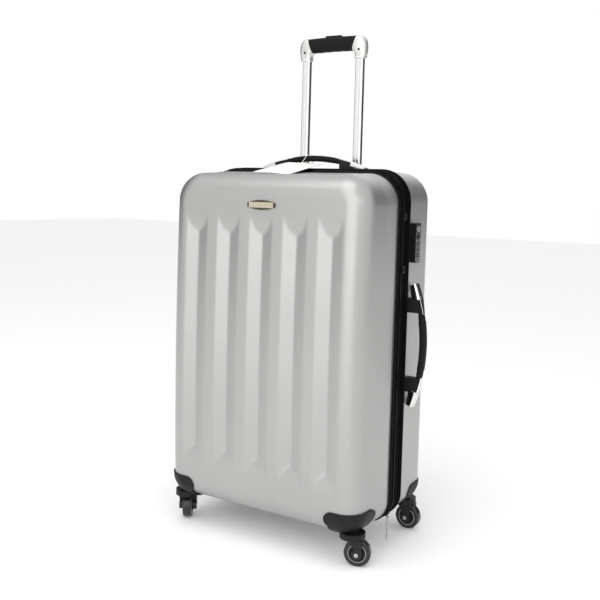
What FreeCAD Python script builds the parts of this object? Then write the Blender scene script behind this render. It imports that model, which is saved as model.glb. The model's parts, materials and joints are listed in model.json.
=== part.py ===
"""Hard shell suitcase on four swivelling wheels, with a pull-out trolley handle.

Millimetres. +Z is up, +X is the side that carries the lock and the side handle, and -Y is the
fluted front. The origin is on the floor, in the middle of the four wheel positions.
"""
import FreeCAD, Part
import math
import os

from FreeCAD import Placement, Rotation, Vector

os.makedirs("parts", exist_ok=True)
doc = FreeCAD.newDocument("suitcase")

# ---------------------------------------------------------------- driving dimensions
DIMENSIONS = {
    # case
    "case_width": 464.0,        # across the rims
    "case_top": 754.0,
    "case_bottom": 56.0,
    "front_face": -152.0,       # y of the front panel at its top and bottom edge
    "rear_face": 148.0,         # y of the flat back
    "crown": 7.5,               # how far the front panel bulges at mid height
    "wall": 3.0,                # moulded shell
    "draft": 2.5,               # degrees, the front shell's sides narrow away from the rim
    "rear_draft": 1.4,          # degrees, the same on the rear shell
    "top_corner": 62.0,
    "bottom_corner": 50.0,
    "panel_round": 42.0,        # edge between the front panel and the sides
    "back_round": 40.0,         # edge between the back and the sides
    "front_drop": 7.0,          # the front shell's top lies this much lower than the band's
    # zip band
    "band_front": -27.5,
    "band_rear": 24.5,
    "zip_line": -9.0,           # the plane where the case opens
    "zip_gap": 0.6,
    "binding_width": 6.0,
    "binding_proud": 1.6,
    "tape_width": 11.0,
    "tape_proud": 0.4,
    "band_seat": 1.5,           # depth of the step that the band is sewn on
    "seat_gap": 0.1,
    # flutes in the front panel
    "flute_pitch": 78.5,
    "flute_half": 26.8,
    "flute_depth": 8.9,
    "flute_top": 659.0,
    "flute_bottom": 141.5,
    "flute_scoop": 32.0,        # height of the sloping end of a flute
    # lining
    "lining_thick": 0.8,
    "lining_gap": 0.4,
    "lining_rear": 90.0,        # y of the lining panel in front of the trolley tubes
    # corner guards and casters
    "guard_skin": 2.2,
    "guard_seat": 0.05,
    "guard_top": 107.0,
    "guard_front_reach": 157.0, # |x| of the lobe's end on the front and back
    "guard_side_reach": 80.0,   # length along the sides
    "caster_across": 200.8,     # |x| of the swivel axes
    "caster_along": 116.0,      # |y| of the swivel axes
    "cup_outer": 25.0,
    "cup_recess": 21.5,
    "cup_ceiling": 59.0,
    "cup_roof": 6.0,
    "kingpin_radius": 4.0,
    "nut_radius": 7.0,
    "running_gap": 0.05,
    "crown_top": 58.5,
    "crown_thick": 5.2,
    "crown_radius": 19.0,
    "wheel_radius": 26.0,
    "wheel_width": 18.0,
    "hub_radius": 16.5,
    "axle_radius": 2.5,
    "trail": 11.0,
    "arm_gap": 1.2,
    "arm_thick": 8.0,
    "arm_boss": 10.0,
    # trolley
    "tube_half_spacing": 66.0,
    "tube_y": 109.0,
    "tube_wide": 18.0,
    "tube_deep": 13.0,
    "tube_wall": 1.2,
    "tube_round": 3.0,
    "tube_fit": 0.4,
    "outer_wall": 1.4,
    "elbow_bottom": 994.5,
    "grip_top": 1043.5,
    "grip_bottom": 1012.0,
    "grip_deep": 25.0,
    "grip_half": 84.5,          # half the overall width of the handle
    "grip_joint_top": 61.0,     # |x| of the slanted joint between grip and elbow
    "grip_joint_bottom": 50.0,
    "inner_bottom": 660.0,      # lower end of the inner tubes, handle out
    "trolley_travel": 280.0,
    "bezel_half": 94.0,
    "bezel_deep": 36.0,
    "bezel_proud": 1.4,
    "bezel_floor": 709.0,
    "bezel_plate": 4.0,
    "bezel_rim": 4.5,
    "button_half": 19.0,
    "button_deep": 11.0,
    "button_proud": 2.5,
    "button_travel": 3.0,
    "bar_height": 24.0,         # underside of the release bar, above the elbows' lower end
    "bar_thick": 4.0,
    "rod_radius": 1.5,
    "foot_height": 18.0,
    # carry handles
    "handle_y": 40.0,
    "handle_half": 124.0,
    "top_rise": 30.5,           # height of the top handle's arch
    "top_end": 5.0,             # the same at its ends
    "side_rise": 38.5,          # the side handle stands further out
    "side_end": 15.0,
    "handle_wide": 20.0,
    "handle_thick": 12.5,
    "grip_step": 64.0,          # |s| where the thick grip ends
    "cap_block": 30.0,          # length of the solid end of a chrome cap
    "tongue_drop": 6.5,
    "tongue_thick": 3.5,
    "tongue_wide": 12.0,
    "side_handle_z": 407.0,
    "handle_lift": 5.0,
    # lock
    "lock_y": 41.0,
    "lock_z": 612.0,
    "lock_wide": 22.0,
    "lock_tall": 80.0,
    "lock_proud": 13.0,
    "dial_radius": 6.2,
    "dial_thick": 7.0,
    "dial_pitch": 11.0,
    "dial_proud": 1.2,
    "key_radius": 6.5,
    # badge
    "badge_z": 680.0,
    "badge_half": 32.0,
    "badge_tall": 19.0,
    "badge_thick": 3.0,
    # small parts
    "pull_x": 215.0,
    "pull_length": 46.0,
    "strap_wide": 25.0,
    "strap_thick": 1.4,
    "strap_y": 14.0,
    "tag_wide": 84.0,
    "tag_long": 150.0,
    "tag_thick": 1.0,
    "tag_x": -12.0,
    "tag_y": -54.0,
    "tag_z": 755.5,
    "string_radius": 0.6,
    "hinge_gap": 4.0,           # hinge axis outside the side wall
}

sheet = doc.addObject("Spreadsheet::Sheet", "Dims")
for row, (alias, value) in enumerate(DIMENSIONS.items(), start=1):
    sheet.set(f"A{row}", alias)
    sheet.set(f"B{row}", str(value))
    sheet.setAlias(f"B{row}", alias)
doc.recompute()
D = {alias: float(sheet.get(alias)) for alias in DIMENSIONS}
sub_parts = {}


# ---------------------------------------------------------------- helpers
def bound(text):
    """An expression with every dimension's name pointed at the sheet."""
    words = []
    word = ""
    for letter in str(text) + " ":
        if letter.isalnum() or letter in "_.":
            word += letter
            continue
        words.append("Dims." + word if word in D else word)
        words.append(letter)
        word = ""
    return "".join(words).strip()


def size(obj, **sizes):
    for name, text in sizes.items():
        obj.setExpression(name, bound(text))
    return obj


def at(obj, x="0", y="0", z="0", turn=None):
    if turn:
        obj.Placement = Placement(Vector(), Rotation(turn[0], turn[1]))
    for letter, text in zip("xyz", (x, y, z)):
        obj.setExpression("Placement.Base." + letter, bound(text))
    return obj


def box(name, x0, x1, y0, y1, z0, z1):
    obj = doc.addObject("Part::Box", name)
    size(obj, Length=f"({x1}) - ({x0})", Width=f"({y1}) - ({y0})", Height=f"({z1}) - ({z0})")
    return at(obj, x0, y0, z0)


TURNS = {"X": (Vector(0, 1, 0), 90), "Y": (Vector(1, 0, 0), -90), "Z": None}


def rod(name, axis, radius, length, x="0", y="0", z="0"):
    """A cylinder from (x, y, z) along +axis."""
    obj = doc.addObject("Part::Cylinder", name)
    size(obj, Radius=radius, Height=length)
    return at(obj, x, y, z, TURNS[axis])


def fuse(name, *shapes):
    obj = doc.addObject("Part::MultiFuse", name)
    obj.Shapes = list(shapes)
    obj.Refine = True
    return obj


def common(name, *shapes):
    obj = doc.addObject("Part::MultiCommon", name)
    obj.Shapes = list(shapes)
    return obj


def cut(name, base, *tools):
    obj = doc.addObject("Part::Cut", name)
    obj.Base = base
    obj.Tool = tools[0] if len(tools) == 1 else fuse(name + "_tools", *tools)
    return obj


def rounded(name, base, radius, chosen):
    """A Part::Fillet on the edges of base that chosen(edge) picks."""
    doc.recompute()
    obj = doc.addObject("Part::Fillet", name)
    obj.Base = base
    picked = [i + 1 for i, edge in enumerate(base.Shape.Edges) if chosen(edge)]
    obj.Edges = [(i, radius, radius) for i in picked]
    return obj


def along(axis, shortest=0.0):
    """Picks the straight edges that run along an axis."""
    index = "XYZ".index(axis)

    def test(edge):
        if edge.Curve.TypeId != "Part::GeomLine":
            return False
        return abs(edge.tangentAt(edge.FirstParameter)[index]) > 0.999 and edge.Length > shortest

    return test


def node(name, obj):
    """Keeps an object as the sub-part of that name."""
    obj.Label = name
    sub_parts[name] = obj
    return obj


def outline(body, name, inset, y, drop):
    """The case's outline as a constrained sketch at depth y, inset inside the rim, its top dropped."""
    plane = [f for f in body.Origin.OriginFeatures if f.Role == "XZ_Plane"][0]
    sk = body.newObject("Sketcher::SketchObject", name)
    sk.AttachmentSupport = [(plane, "")]
    sk.MapMode = "FlatFace"
    sk.setExpression("AttachmentOffset.Base.z", bound(f"-({y})"))
    half, top, bottom, high, low = (
        f"case_width/2 - ({inset})",
        f"case_top - ({drop}) - ({inset})",
        f"case_bottom + ({inset})",
        f"top_corner - ({inset})",
        f"bottom_corner - ({inset})",
    )
    w, t, b, rt, rb = (eval_number(text) for text in (half, top, bottom, high, low))
    turn = math.pi / 2
    lines = [
        ((-w + rt, t), (w - rt, t)),
        ((w, t - rt), (w, b + rb)),
        ((w - rb, b), (-w + rb, b)),
        ((-w, b + rb), (-w, t - rt)),
    ]
    arcs = [
        ((w - rt, t - rt), rt, 0, turn),
        ((w - rb, b + rb), rb, -turn, 0),
        ((-w + rb, b + rb), rb, math.pi, 3 * turn),
        ((-w + rt, t - rt), rt, turn, math.pi),
    ]
    for start, end in lines:
        sk.addGeometry(Part.LineSegment(Vector(*start, 0), Vector(*end, 0)), False)
    for centre, radius, first, last in arcs:
        circle = Part.Circle(Vector(*centre, 0), Vector(0, 0, 1), radius)
        sk.addGeometry(Part.ArcOfCircle(circle, first, last), False)
    # line end, arc start or end, in order round the outline
    joints = [(0, 2, 4, 2), (4, 1, 1, 1), (1, 2, 5, 2), (5, 1, 2, 1),
              (2, 2, 6, 2), (6, 1, 3, 1), (3, 2, 7, 2), (7, 1, 0, 1)]
    for joint in joints:
        sk.addConstraint(constraint("Tangent", *joint))
    for index, kind in enumerate(("Horizontal", "Vertical", "Horizontal", "Vertical")):
        sk.addConstraint(constraint(kind, index))
    for index, value, text in ((4, rt, high), (5, rb, low), (6, rb, low), (7, rt, high)):
        number = sk.addConstraint(constraint("Radius", index, value))
        sk.setExpression(f"Constraints[{number}]", bound(text))
    places = ((("DistanceX", -1, 1, 1, 1), w, half), (("DistanceX", 3, 1, -1, 1), w, half),
              (("DistanceY", -1, 1, 0, 1), t, top), (("DistanceY", -1, 1, 2, 1), b, bottom))
    for terms, value, text in places:
        number = sk.addConstraint(constraint(*terms, value))
        sk.setExpression(f"Constraints[{number}]", bound(text))
    return sk


def constraint(*terms):
    import Sketcher
    return Sketcher.Constraint(*terms)


def eval_number(text):
    """The value of a sum of dimensions, worked out by the sheet itself."""
    return float(sheet.evalExpression(bound(text).replace("Dims.", "")))


def slab(name, inset, y0, y1, draft="0", drop="0"):
    """The case's outline padded from y0 to y1, narrowing by a draft angle on the way."""
    body = doc.addObject("PartDesign::Body", name)
    sk = outline(body, name + "_outline", inset, y0, drop)
    pad = body.newObject("PartDesign::Pad", name + "_pad")
    pad.Profile = sk
    pad.Reversed = eval_number(y1) > eval_number(y0)
    pad.setExpression("Length", bound(f"abs(({y1}) - ({y0}))"))
    pad.setExpression("TaperAngle", bound(f"-({draft})"))
    return body


def ring(name, y0, y1, outer, inner, drop, inner_drop):
    """A band round the case between two insets."""
    return cut(name, slab(name + "_out", outer, y0, y1, drop=drop),
               slab(name + "_in", inner, y0, y1, drop=inner_drop))


def front_block(name, inset, panel_inset):
    """The front half's outer form, inset from the shell's outer face all round."""
    pad = slab(name + "_sides", inset, "band_front", f"front_face - crown + ({panel_inset})",
               "draft", "front_drop")
    rise = "(case_top - case_bottom)/2"
    barrel = rod(name + "_barrel", "X", f"({rise})^2/(2*crown) + crown/2", "case_width + 40",
                 "-case_width/2 - 20",
                 f"front_face - crown + ({panel_inset}) + ({rise})^2/(2*crown) + crown/2",
                 "(case_top + case_bottom)/2")
    crowned = common(name + "_crowned", pad, barrel)
    limit = D["front_face"] + 25
    return rounded(name, crowned, D["panel_round"] - eval_number(inset),
                   lambda e: e.BoundBox.YMax < limit)


def rear_block(name, inset, panel_inset):
    """The rear half's outer form, with a flat back."""
    pad = slab(name + "_sides", inset, "band_rear", f"rear_face - ({panel_inset})", "rear_draft")
    limit = eval_number(f"rear_face - ({panel_inset})") - 0.1
    return rounded(name, pad, D["back_round"] - eval_number(inset),
                   lambda e: e.BoundBox.YMin > limit)


# ---------------------------------------------------------------- shells, linings and band
NECK = "band_seat + seat_gap"
CAVITY = "band_seat + seat_gap + wall"


def flute(x, offset):
    """A V-shaped cutter with sloping ends that follows the panel's bulge. offset moves it inwards."""
    rise = (D["case_top"] - D["case_bottom"]) / 2
    middle = (D["case_top"] + D["case_bottom"]) / 2
    depth, ahead = D["flute_depth"], 3.5
    spread = D["flute_half"] * (depth + ahead) / depth
    scoop = D["flute_scoop"] * (depth + ahead) / depth
    low, high = D["flute_bottom"] + D["flute_scoop"], D["flute_top"] - D["flute_scoop"]
    steps = 4
    heights = [low + (high - low) * i / steps for i in range(steps + 1)]
    depths = [D["front_face"] - D["crown"] * (1 - ((z - middle) / rise) ** 2) + offset
              for z in heights]
    rake = (depths[1] - depths[0]) / (heights[1] - heights[0])
    sections = []
    for i, (z, y) in enumerate(zip(heights, depths)):
        tip = {0: -scoop, steps: scoop}.get(i, 0.0)
        edge = y - ahead - rake * abs(tip)
        corners = [Vector(x - spread, edge, z + tip), Vector(x, y + depth, z),
                   Vector(x + spread, edge, z + tip)]
        sections.append(Part.makePolygon(corners + corners[:1]))
    return Part.makeLoft(sections, True, True)


def flutes(name, offset):
    obj = doc.addObject("Part::Feature", name)
    cutters = [flute(i * D["flute_pitch"], offset) for i in (-2, -1, 0, 1, 2)]
    obj.Shape = Part.makeCompound(cutters)
    return obj


def caster_holes(name, radius, front):
    """Round holes in the floor of a half case, one for each caster cup."""
    side = "-" if front else ""
    holes = [rod(f"{name}_{hand}", "Z", radius, "60", f"{sign}caster_across",
                 f"{side}caster_along", "case_bottom - 10")
             for hand, sign in (("right", ""), ("left", "-"))]
    return fuse(name, *holes)


front_form = front_block("front_form", "0", "0")
front_neck = slab("front_neck", NECK, "band_front - 1", "zip_line - zip_gap/2", drop="front_drop")
front_hollow = fuse(
    "front_hollow",
    front_block("front_cavity", CAVITY, "wall"),
    slab("front_mouth", CAVITY, "band_front - 1", "zip_line", drop="front_drop"),
)
front_skin = cut("front_skin", fuse("front_mould", front_form, front_neck), front_hollow)
flute_ribs = common("flute_ribs", flutes("flute_backs", D["wall"]),
                    front_block("flute_limit", "0.5", "0.5"))
front_fluted = cut("front_fluted", fuse("front_ribbed", front_skin, flute_ribs),
                   flutes("flute_cutters", 0.0))
node("front_shell", cut("front_shell", front_fluted,
                        caster_holes("front_cup_holes", "cup_outer + guard_seat", True)))

rear_form = rear_block("rear_form", "0", "0")
rear_neck = slab("rear_neck", NECK, "band_rear + 1", "zip_line + zip_gap/2")
rear_hollow = fuse(
    "rear_hollow",
    rear_block("rear_cavity", CAVITY, "wall"),
    slab("rear_mouth", CAVITY, "band_rear + 1", "zip_line"),
)
bezel_hole = box("bezel_hole", "-bezel_half - seat_gap", "bezel_half + seat_gap",
                 "tube_y - bezel_deep/2 - seat_gap", "tube_y + bezel_deep/2 + seat_gap",
                 "case_top - 60", "case_top + 10")
node("rear_shell", cut("rear_shell", fuse("rear_mould", rear_form, rear_neck), rear_hollow,
                       bezel_hole, caster_holes("rear_cup_holes", "cup_outer + guard_seat", False)))

LINED = "band_seat + seat_gap + wall + lining_gap"
LINER = "band_seat + seat_gap + wall + lining_gap + lining_thick"
FLUTE_ROOM = "wall + flute_depth + wall + lining_gap"
cup_room_front = caster_holes("front_cup_room", "cup_outer + 1", True)
cup_room_rear = caster_holes("rear_cup_room", "cup_outer + 1", False)
node("front_lining", cut(
    "front_lining", fuse("front_lining_out", front_block("front_lined", LINED, FLUTE_ROOM),
                         slab("front_lined_mouth", LINED, "band_front - 1", "zip_line - 1",
                              drop="front_drop")),
    front_block("front_liner", LINER, FLUTE_ROOM + " + lining_thick"),
    slab("front_liner_mouth", LINER, "band_front - 1", "zip_line", drop="front_drop"),
    cup_room_front))
rear_lined = fuse("rear_lined", slab("rear_lined_mouth", LINED, "zip_line + 1", "band_rear"),
                  slab("rear_lined_wall", LINED, "band_rear", "lining_rear", "rear_draft"))
node("rear_lining", cut(
    "rear_lining", rear_lined, slab("rear_liner_mouth", LINER, "zip_line", "band_rear"),
    slab("rear_liner_wall", LINER, "band_rear", "lining_rear - lining_thick", "rear_draft"),
    cup_room_rear))

SEAT = "band_seat"
bands = {
    "front_binding": ("band_front", "band_front + binding_width", "-binding_proud", "front_drop",
                      "front_drop"),
    "front_zip_tape": ("band_front + binding_width", "zip_line - zip_gap/2", "-tape_proud",
                       "front_drop/2", "front_drop"),
    "rear_zip_tape": ("zip_line + zip_gap/2", "zip_line + tape_width", "-tape_proud", "0", "0"),
    "expander_gusset": ("zip_line + tape_width", "band_rear - binding_width", "tape_proud", "0",
                        "0"),
    "rear_binding": ("band_rear - binding_width", "band_rear", "-binding_proud", "0", "0"),
}
for name, (y0, y1, proud, drop, seat_drop) in bands.items():
    node(name, ring(name, y0, y1, proud, SEAT, drop, seat_drop))

HINGE_FACE = "-case_width/2 - tape_proud"
HINGE_ENDS = ("case_bottom + bottom_corner + 20", "case_top - top_corner - 20")
hinge_strip = box("hinge_strip", f"{HINGE_FACE} - 2", f"{HINGE_FACE} - 0.4", "zip_line - 9",
                  "zip_line + 9", *HINGE_ENDS)
hinge_seam = box("hinge_seam", f"{HINGE_FACE} - 1", HINGE_FACE, "zip_line + 2", "zip_line + 9",
                 *HINGE_ENDS)
node("hinge_tape", fuse("hinge_tape", hinge_strip, hinge_seam))

# ---------------------------------------------------------------- badge
badge_y = "front_face - crown*(1 - ((badge_z - (case_top + case_bottom)/2)/((case_top - case_bottom)/2))^2)"
badge_ends = common(
    "badge_outline",
    box("badge_block", "-badge_half", "badge_half", f"{badge_y} - badge_thick", f"{badge_y} + 6",
        "badge_z - badge_tall/2", "badge_z + badge_tall/2"),
    rod("badge_lower_arc", "Y", "badge_half*3", "30", "0", f"{badge_y} - 15",
        "badge_z - badge_tall/2 + badge_half*3"),
    rod("badge_upper_arc", "Y", "badge_half*3", "30", "0", f"{badge_y} - 15",
        "badge_z + badge_tall/2 - badge_half*3"),
)
badge_seat = cut("badge_seat", badge_ends, front_form)
badge_window = box("badge_window", "-badge_half + 3.5", "badge_half - 3.5",
                   f"{badge_y} - badge_thick - 1", f"{badge_y} - badge_thick + 1.2",
                   "badge_z - badge_tall/2 + 4", "badge_z + badge_tall/2 - 4")
node("badge_frame", cut("badge_frame", badge_seat, badge_window))
node("badge_plate", box("badge_plate", "-badge_half + 3.5", "badge_half - 3.5",
                        f"{badge_y} - badge_thick + 0.3", f"{badge_y} - badge_thick + 1.2",
                        "badge_z - badge_tall/2 + 4", "badge_z + badge_tall/2 - 4"))

# ---------------------------------------------------------------- corner guards and casters
guard_forms = {
    "front": (front_block("front_guard_form", "-guard_skin", "-guard_skin"),
              front_block("front_guard_inner", "-guard_seat", "-guard_seat")),
    "rear": (rear_block("rear_guard_form", "-guard_skin", "-guard_skin"),
             rear_block("rear_guard_inner", "-guard_seat", "-guard_seat")),
}


def span(sign, near, far):
    """The lower and upper limit of a stretch from near to far on the side that sign gives."""
    return (near, far) if sign == "" else (f"-({far})", f"-({near})")


def corner_guard(end, hand):
    """A moulded guard over one bottom corner, with the cup that its caster turns in."""
    name = f"{end}_{hand}_guard"
    sx = "" if hand == "right" else "-"
    sy = "-" if end == "front" else ""
    panel = "-front_face + crown" if end == "front" else "rear_face"
    edge = f"{panel} + 10" if end == "front" else panel
    lobe_radius = "(guard_top - case_bottom)/3"
    x0, x1 = span(sx, f"guard_front_reach + {lobe_radius}", "case_width/2 + 10")
    y0, y1 = span(sy, f"{panel} - guard_side_reach + {lobe_radius}", edge)
    corner = box(name + "_corner", x0, x1, y0, y1, "case_bottom - 6", "guard_top")
    y2, y3 = span(sy, f"{panel} - panel_round - 4", edge)
    front_lobe = rod(name + "_front_lobe", "Y", lobe_radius, f"({y3}) - ({y2})",
                     f"{sx}(guard_front_reach + {lobe_radius})", y2, f"guard_top - {lobe_radius}")
    x2, x3 = span(sx, f"guard_front_reach + {lobe_radius}/3",
                  f"guard_front_reach + {lobe_radius}")
    front_fill = box(name + "_front_fill", x2, x3, y0, y1, "case_bottom - 6",
                     f"guard_top - {lobe_radius}")
    x4, x5 = span(sx, "case_width/2 - 34", "case_width/2 + 10")
    side_lobe = rod(name + "_side_lobe", "X", lobe_radius, f"({x5}) - ({x4})", x4,
                    f"{sy}({panel} - guard_side_reach + {lobe_radius})",
                    f"guard_top - {lobe_radius}")
    y4, y5 = span(sy, f"{panel} - guard_side_reach + {lobe_radius}/3",
                  f"{panel} - guard_side_reach + {lobe_radius}")
    side_fill = box(name + "_side_fill", x0, x1, y4, y5, "case_bottom - 6",
                    f"guard_top - {lobe_radius}")
    region = fuse(name + "_region", corner, front_lobe, front_fill, side_lobe, side_fill)
    skin = cut(name + "_skin", common(name + "_wrap", guard_forms[end][0], region),
               guard_forms[end][1])
    x, y = sx + "caster_across", sy + "caster_along"
    cup = rod(name + "_cup", "Z", "cup_outer", "cup_ceiling + cup_roof - case_bottom + guard_skin",
              x, y, "case_bottom - guard_skin")
    recess = rod(name + "_recess", "Z", "cup_recess", "cup_ceiling - case_bottom + 20", x, y,
                 "case_bottom - 20")
    bore = rod(name + "_bore", "Z", "kingpin_radius", "30", x, y, "cup_ceiling - 5")
    nut_room = rod(name + "_nut_room", "Z", "nut_radius + seat_gap", "30", x, y,
                   "cup_ceiling + cup_roof")
    return node(name, cut(name, fuse(name + "_body", skin, cup), recess, bore, nut_room))


def kingpins(name, sy):
    """The two caster pivots of one half: head, shank and the nut on the cup's roof."""
    pins = []
    for hand, sx in (("right", ""), ("left", "-")):
        x, y = sx + "caster_across", sy + "caster_along"
        head = rod(f"{name}_{hand}_head", "Z", "kingpin_radius + 1.5", "1.0", x, y,
                   "crown_top - crown_thick - 1.1")
        shank = rod(f"{name}_{hand}_shank", "Z", "kingpin_radius", "cup_roof + crown_thick + 10", x, y,
                    "crown_top - crown_thick - 0.5")
        nut = rod(f"{name}_{hand}_nut", "Z", "nut_radius", "6", x, y,
                  "cup_ceiling + cup_roof")
        pins += [head, shank, nut]
    return node(name, fuse(name, *pins))


for end in ("front", "rear"):
    for hand in ("left", "right"):
        corner_guard(end, hand)
kingpins("front_kingpins", "-")
kingpins("rear_kingpins", "")


def caster(place, sx, sy, turn):
    """A twin-arm swivel fork, its axle, hub and tyre. turn is the trail's direction from +X."""
    tag = "_" + place
    half_wheel = "wheel_width/2"
    inner, outer = f"{half_wheel} + arm_gap", f"{half_wheel} + arm_gap + arm_thick"
    crown = common(
        "fork_crown" + tag,
        rod("fork_disc" + tag, "Z", "crown_radius", "crown_thick", "0", "0",
            "crown_top - crown_thick"),
        box("fork_disc_limit" + tag, "-crown_radius", "crown_radius", f"-({outer})", outer,
            "crown_top - crown_thick", "crown_top"))
    solids = [crown]
    for hand, y0 in (("a", inner), ("b", f"-({outer})")):
        boss = rod(f"fork_boss_{hand}{tag}", "Y", "arm_boss", "arm_thick", "trail", y0,
                   "wheel_radius")
        web = box(f"fork_web_{hand}{tag}", "-arm_boss*0.6", "trail + arm_boss", y0,
                  f"{y0} + arm_thick", "wheel_radius", "crown_top - crown_thick")
        slope = doc.addObject("Part::Wedge", f"fork_back_{hand}{tag}")
        size(slope, Xmin="0", Ymin="0", Zmin="0", X2min="0", Z2min="0", Xmax="trail + arm_boss",
             Ymax="crown_top - crown_thick - wheel_radius", Zmax="arm_thick", X2max="2",
             Z2max="arm_thick")
        slope.Placement = Placement(Vector(), Rotation(Vector(1, 0, 0), 90))
        at(slope, "-arm_boss*0.6 - 0.01", f"{y0} + arm_thick", "wheel_radius - 2")
        solids += [boss, cut(f"fork_arm_{hand}{tag}", web, slope)]
    body = fuse("fork_body" + tag, *solids)
    pivot = rod("fork_pivot" + tag, "Z", "kingpin_radius + running_gap", "20", "0", "0",
                "crown_top - 12")
    bore = rod("fork_bore" + tag, "Y", "axle_radius", "60", "trail", "-30", "wheel_radius")
    fork = cut("caster_fork" + tag, body, pivot, bore)
    shank = rod("axle_shank" + tag, "Y", "axle_radius", f"2*({outer})", "trail", f"-({outer})",
                "wheel_radius")
    heads = [rod(f"axle_head_{hand}{tag}", "Y", "axle_radius + 1.5", "1.0", "trail", y0,
                 "wheel_radius")
             for hand, y0 in (("a", outer), ("b", f"-({outer}) - 1.0"))]
    axle = fuse("caster_axle" + tag, shank, *heads)
    hub_body = rod("hub_body" + tag, "Y", "hub_radius", "wheel_width", "trail",
                   f"-{half_wheel}", "wheel_radius")
    hub_bore = rod("hub_bore" + tag, "Y", "axle_radius + running_gap", "60", "trail", "-30",
                   "wheel_radius")
    dishes = [rod(f"hub_dish_{hand}{tag}", "Y", "hub_radius - 3", "2.5", "trail", y0,
                  "wheel_radius")
              for hand, y0 in (("a", f"-{half_wheel}"), ("b", f"{half_wheel} - 2.5"))]
    bosses = [rod(f"hub_boss_{hand}{tag}", "Y", "axle_radius + 3", "2.5", "trail", y0,
                  "wheel_radius")
              for hand, y0 in (("a", f"-{half_wheel}"), ("b", f"{half_wheel} - 2.5"))]
    hub = cut("wheel_hub" + tag, fuse("hub_solid" + tag, cut("hub_shape" + tag, hub_body, *dishes),
                                      *bosses), hub_bore)
    tyre_body = rod("tyre_body" + tag, "Y", "wheel_radius", "wheel_width", "trail",
                    f"-{half_wheel}", "wheel_radius")
    tyre_round = rounded("tyre_round" + tag, tyre_body, 3.0, lambda e: e.Length > 10 and
                         e.Curve.TypeId == "Part::GeomCircle")
    tyre_hole = rod("tyre_hole" + tag, "Y", "hub_radius", "60", "trail", "-30", "wheel_radius")
    tyre = cut("wheel_tyre" + tag, tyre_round, tyre_hole)
    for obj in (fork, axle, hub, tyre):
        obj.Placement = Placement(Vector(), Rotation(Vector(0, 0, 1), turn))
        at(obj, sx + "caster_across", sy + "caster_along", "0")
    node("caster_fork" + tag, fork)
    node("caster_axle" + tag, axle)
    node("wheel_hub" + tag, hub)
    node("wheel_tyre" + tag, tyre)


CASTERS = {
    "front_left": ("-", "-", 120.0),
    "front_right": ("", "-", 18.0),
    "rear_left": ("-", "", 40.0),
    "rear_right": ("", "", 0.0),
}
for place, (sx, sy, turn) in CASTERS.items():
    caster(place, sx, sy, turn)

# ---------------------------------------------------------------- trolley
def tube(name, x, z0, z1, grow, wall):
    """A rounded rectangular tube standing at x. grow widens it all round."""
    wide, deep = f"tube_wide + 2*({grow})", f"tube_deep + 2*({grow})"
    outer = box(name + "_out", f"{x} - ({wide})/2", f"{x} + ({wide})/2", f"tube_y - ({deep})/2",
                f"tube_y + ({deep})/2", z0, z1)
    outer = rounded(name + "_outer", outer, D["tube_round"] + eval_number(grow), along("Z"))
    inner = box(name + "_in", f"{x} - ({wide})/2 + {wall}", f"{x} + ({wide})/2 - {wall}",
                f"tube_y - ({deep})/2 + {wall}", f"tube_y + ({deep})/2 - {wall}",
                f"{z0} - 1", f"{z1} + 1")
    inner = rounded(name + "_inner", inner, D["tube_round"] + eval_number(f"{grow} - {wall}"),
                    along("Z"))
    return cut(name, outer, inner)


OUTER_GROW = "tube_fit + outer_wall"
SIDES = (("left", "-"), ("right", ""))
node("inner_tubes", fuse("inner_tubes", *[
    tube(f"inner_tube_{hand}", f"{sx}tube_half_spacing", "inner_bottom", "elbow_bottom + 12", "0",
         "tube_wall") for hand, sx in SIDES]))
node("outer_tubes", fuse("outer_tubes", *[
    tube(f"outer_tube_{hand}", f"{sx}tube_half_spacing",
         "case_bottom + wall + seat_gap + band_seat + foot_height", "bezel_floor - bezel_plate",
         OUTER_GROW, "outer_wall") for hand, sx in SIDES]))
foot_block = box("foot_block", "-tube_half_spacing - 20", "tube_half_spacing + 20",
                 "tube_y - 13", "tube_y + 13", "case_bottom + wall + seat_gap + band_seat",
                 "case_bottom + wall + seat_gap + band_seat + foot_height")
node("trolley_foot", common("trolley_foot", foot_block, rear_hollow))

bezel_body = common(
    "bezel_body", rear_block("bezel_form", "-bezel_proud", "-bezel_proud"),
    box("bezel_block", "-bezel_half", "bezel_half", "tube_y - bezel_deep/2",
        "tube_y + bezel_deep/2", "bezel_floor - bezel_plate", "case_top + 10"))
bezel_well = box("bezel_well", "-bezel_half + bezel_rim", "bezel_half - bezel_rim",
                 "tube_y - bezel_deep/2 + bezel_rim", "tube_y + bezel_deep/2 - bezel_rim",
                 "bezel_floor", "case_top + 20")
bezel_bores = [
    rounded(f"bezel_bore_{hand}", box(
        f"bezel_bore_block_{hand}", f"{sx}tube_half_spacing - tube_wide/2 - tube_fit",
        f"{sx}tube_half_spacing + tube_wide/2 + tube_fit", "tube_y - tube_deep/2 - tube_fit",
        "tube_y + tube_deep/2 + tube_fit", "bezel_floor - 20", "bezel_floor + 10"),
        D["tube_round"] + D["tube_fit"], along("Z")) for hand, sx in SIDES]
node("trolley_bezel", cut("trolley_bezel", bezel_body, bezel_well, *bezel_bores))


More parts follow.
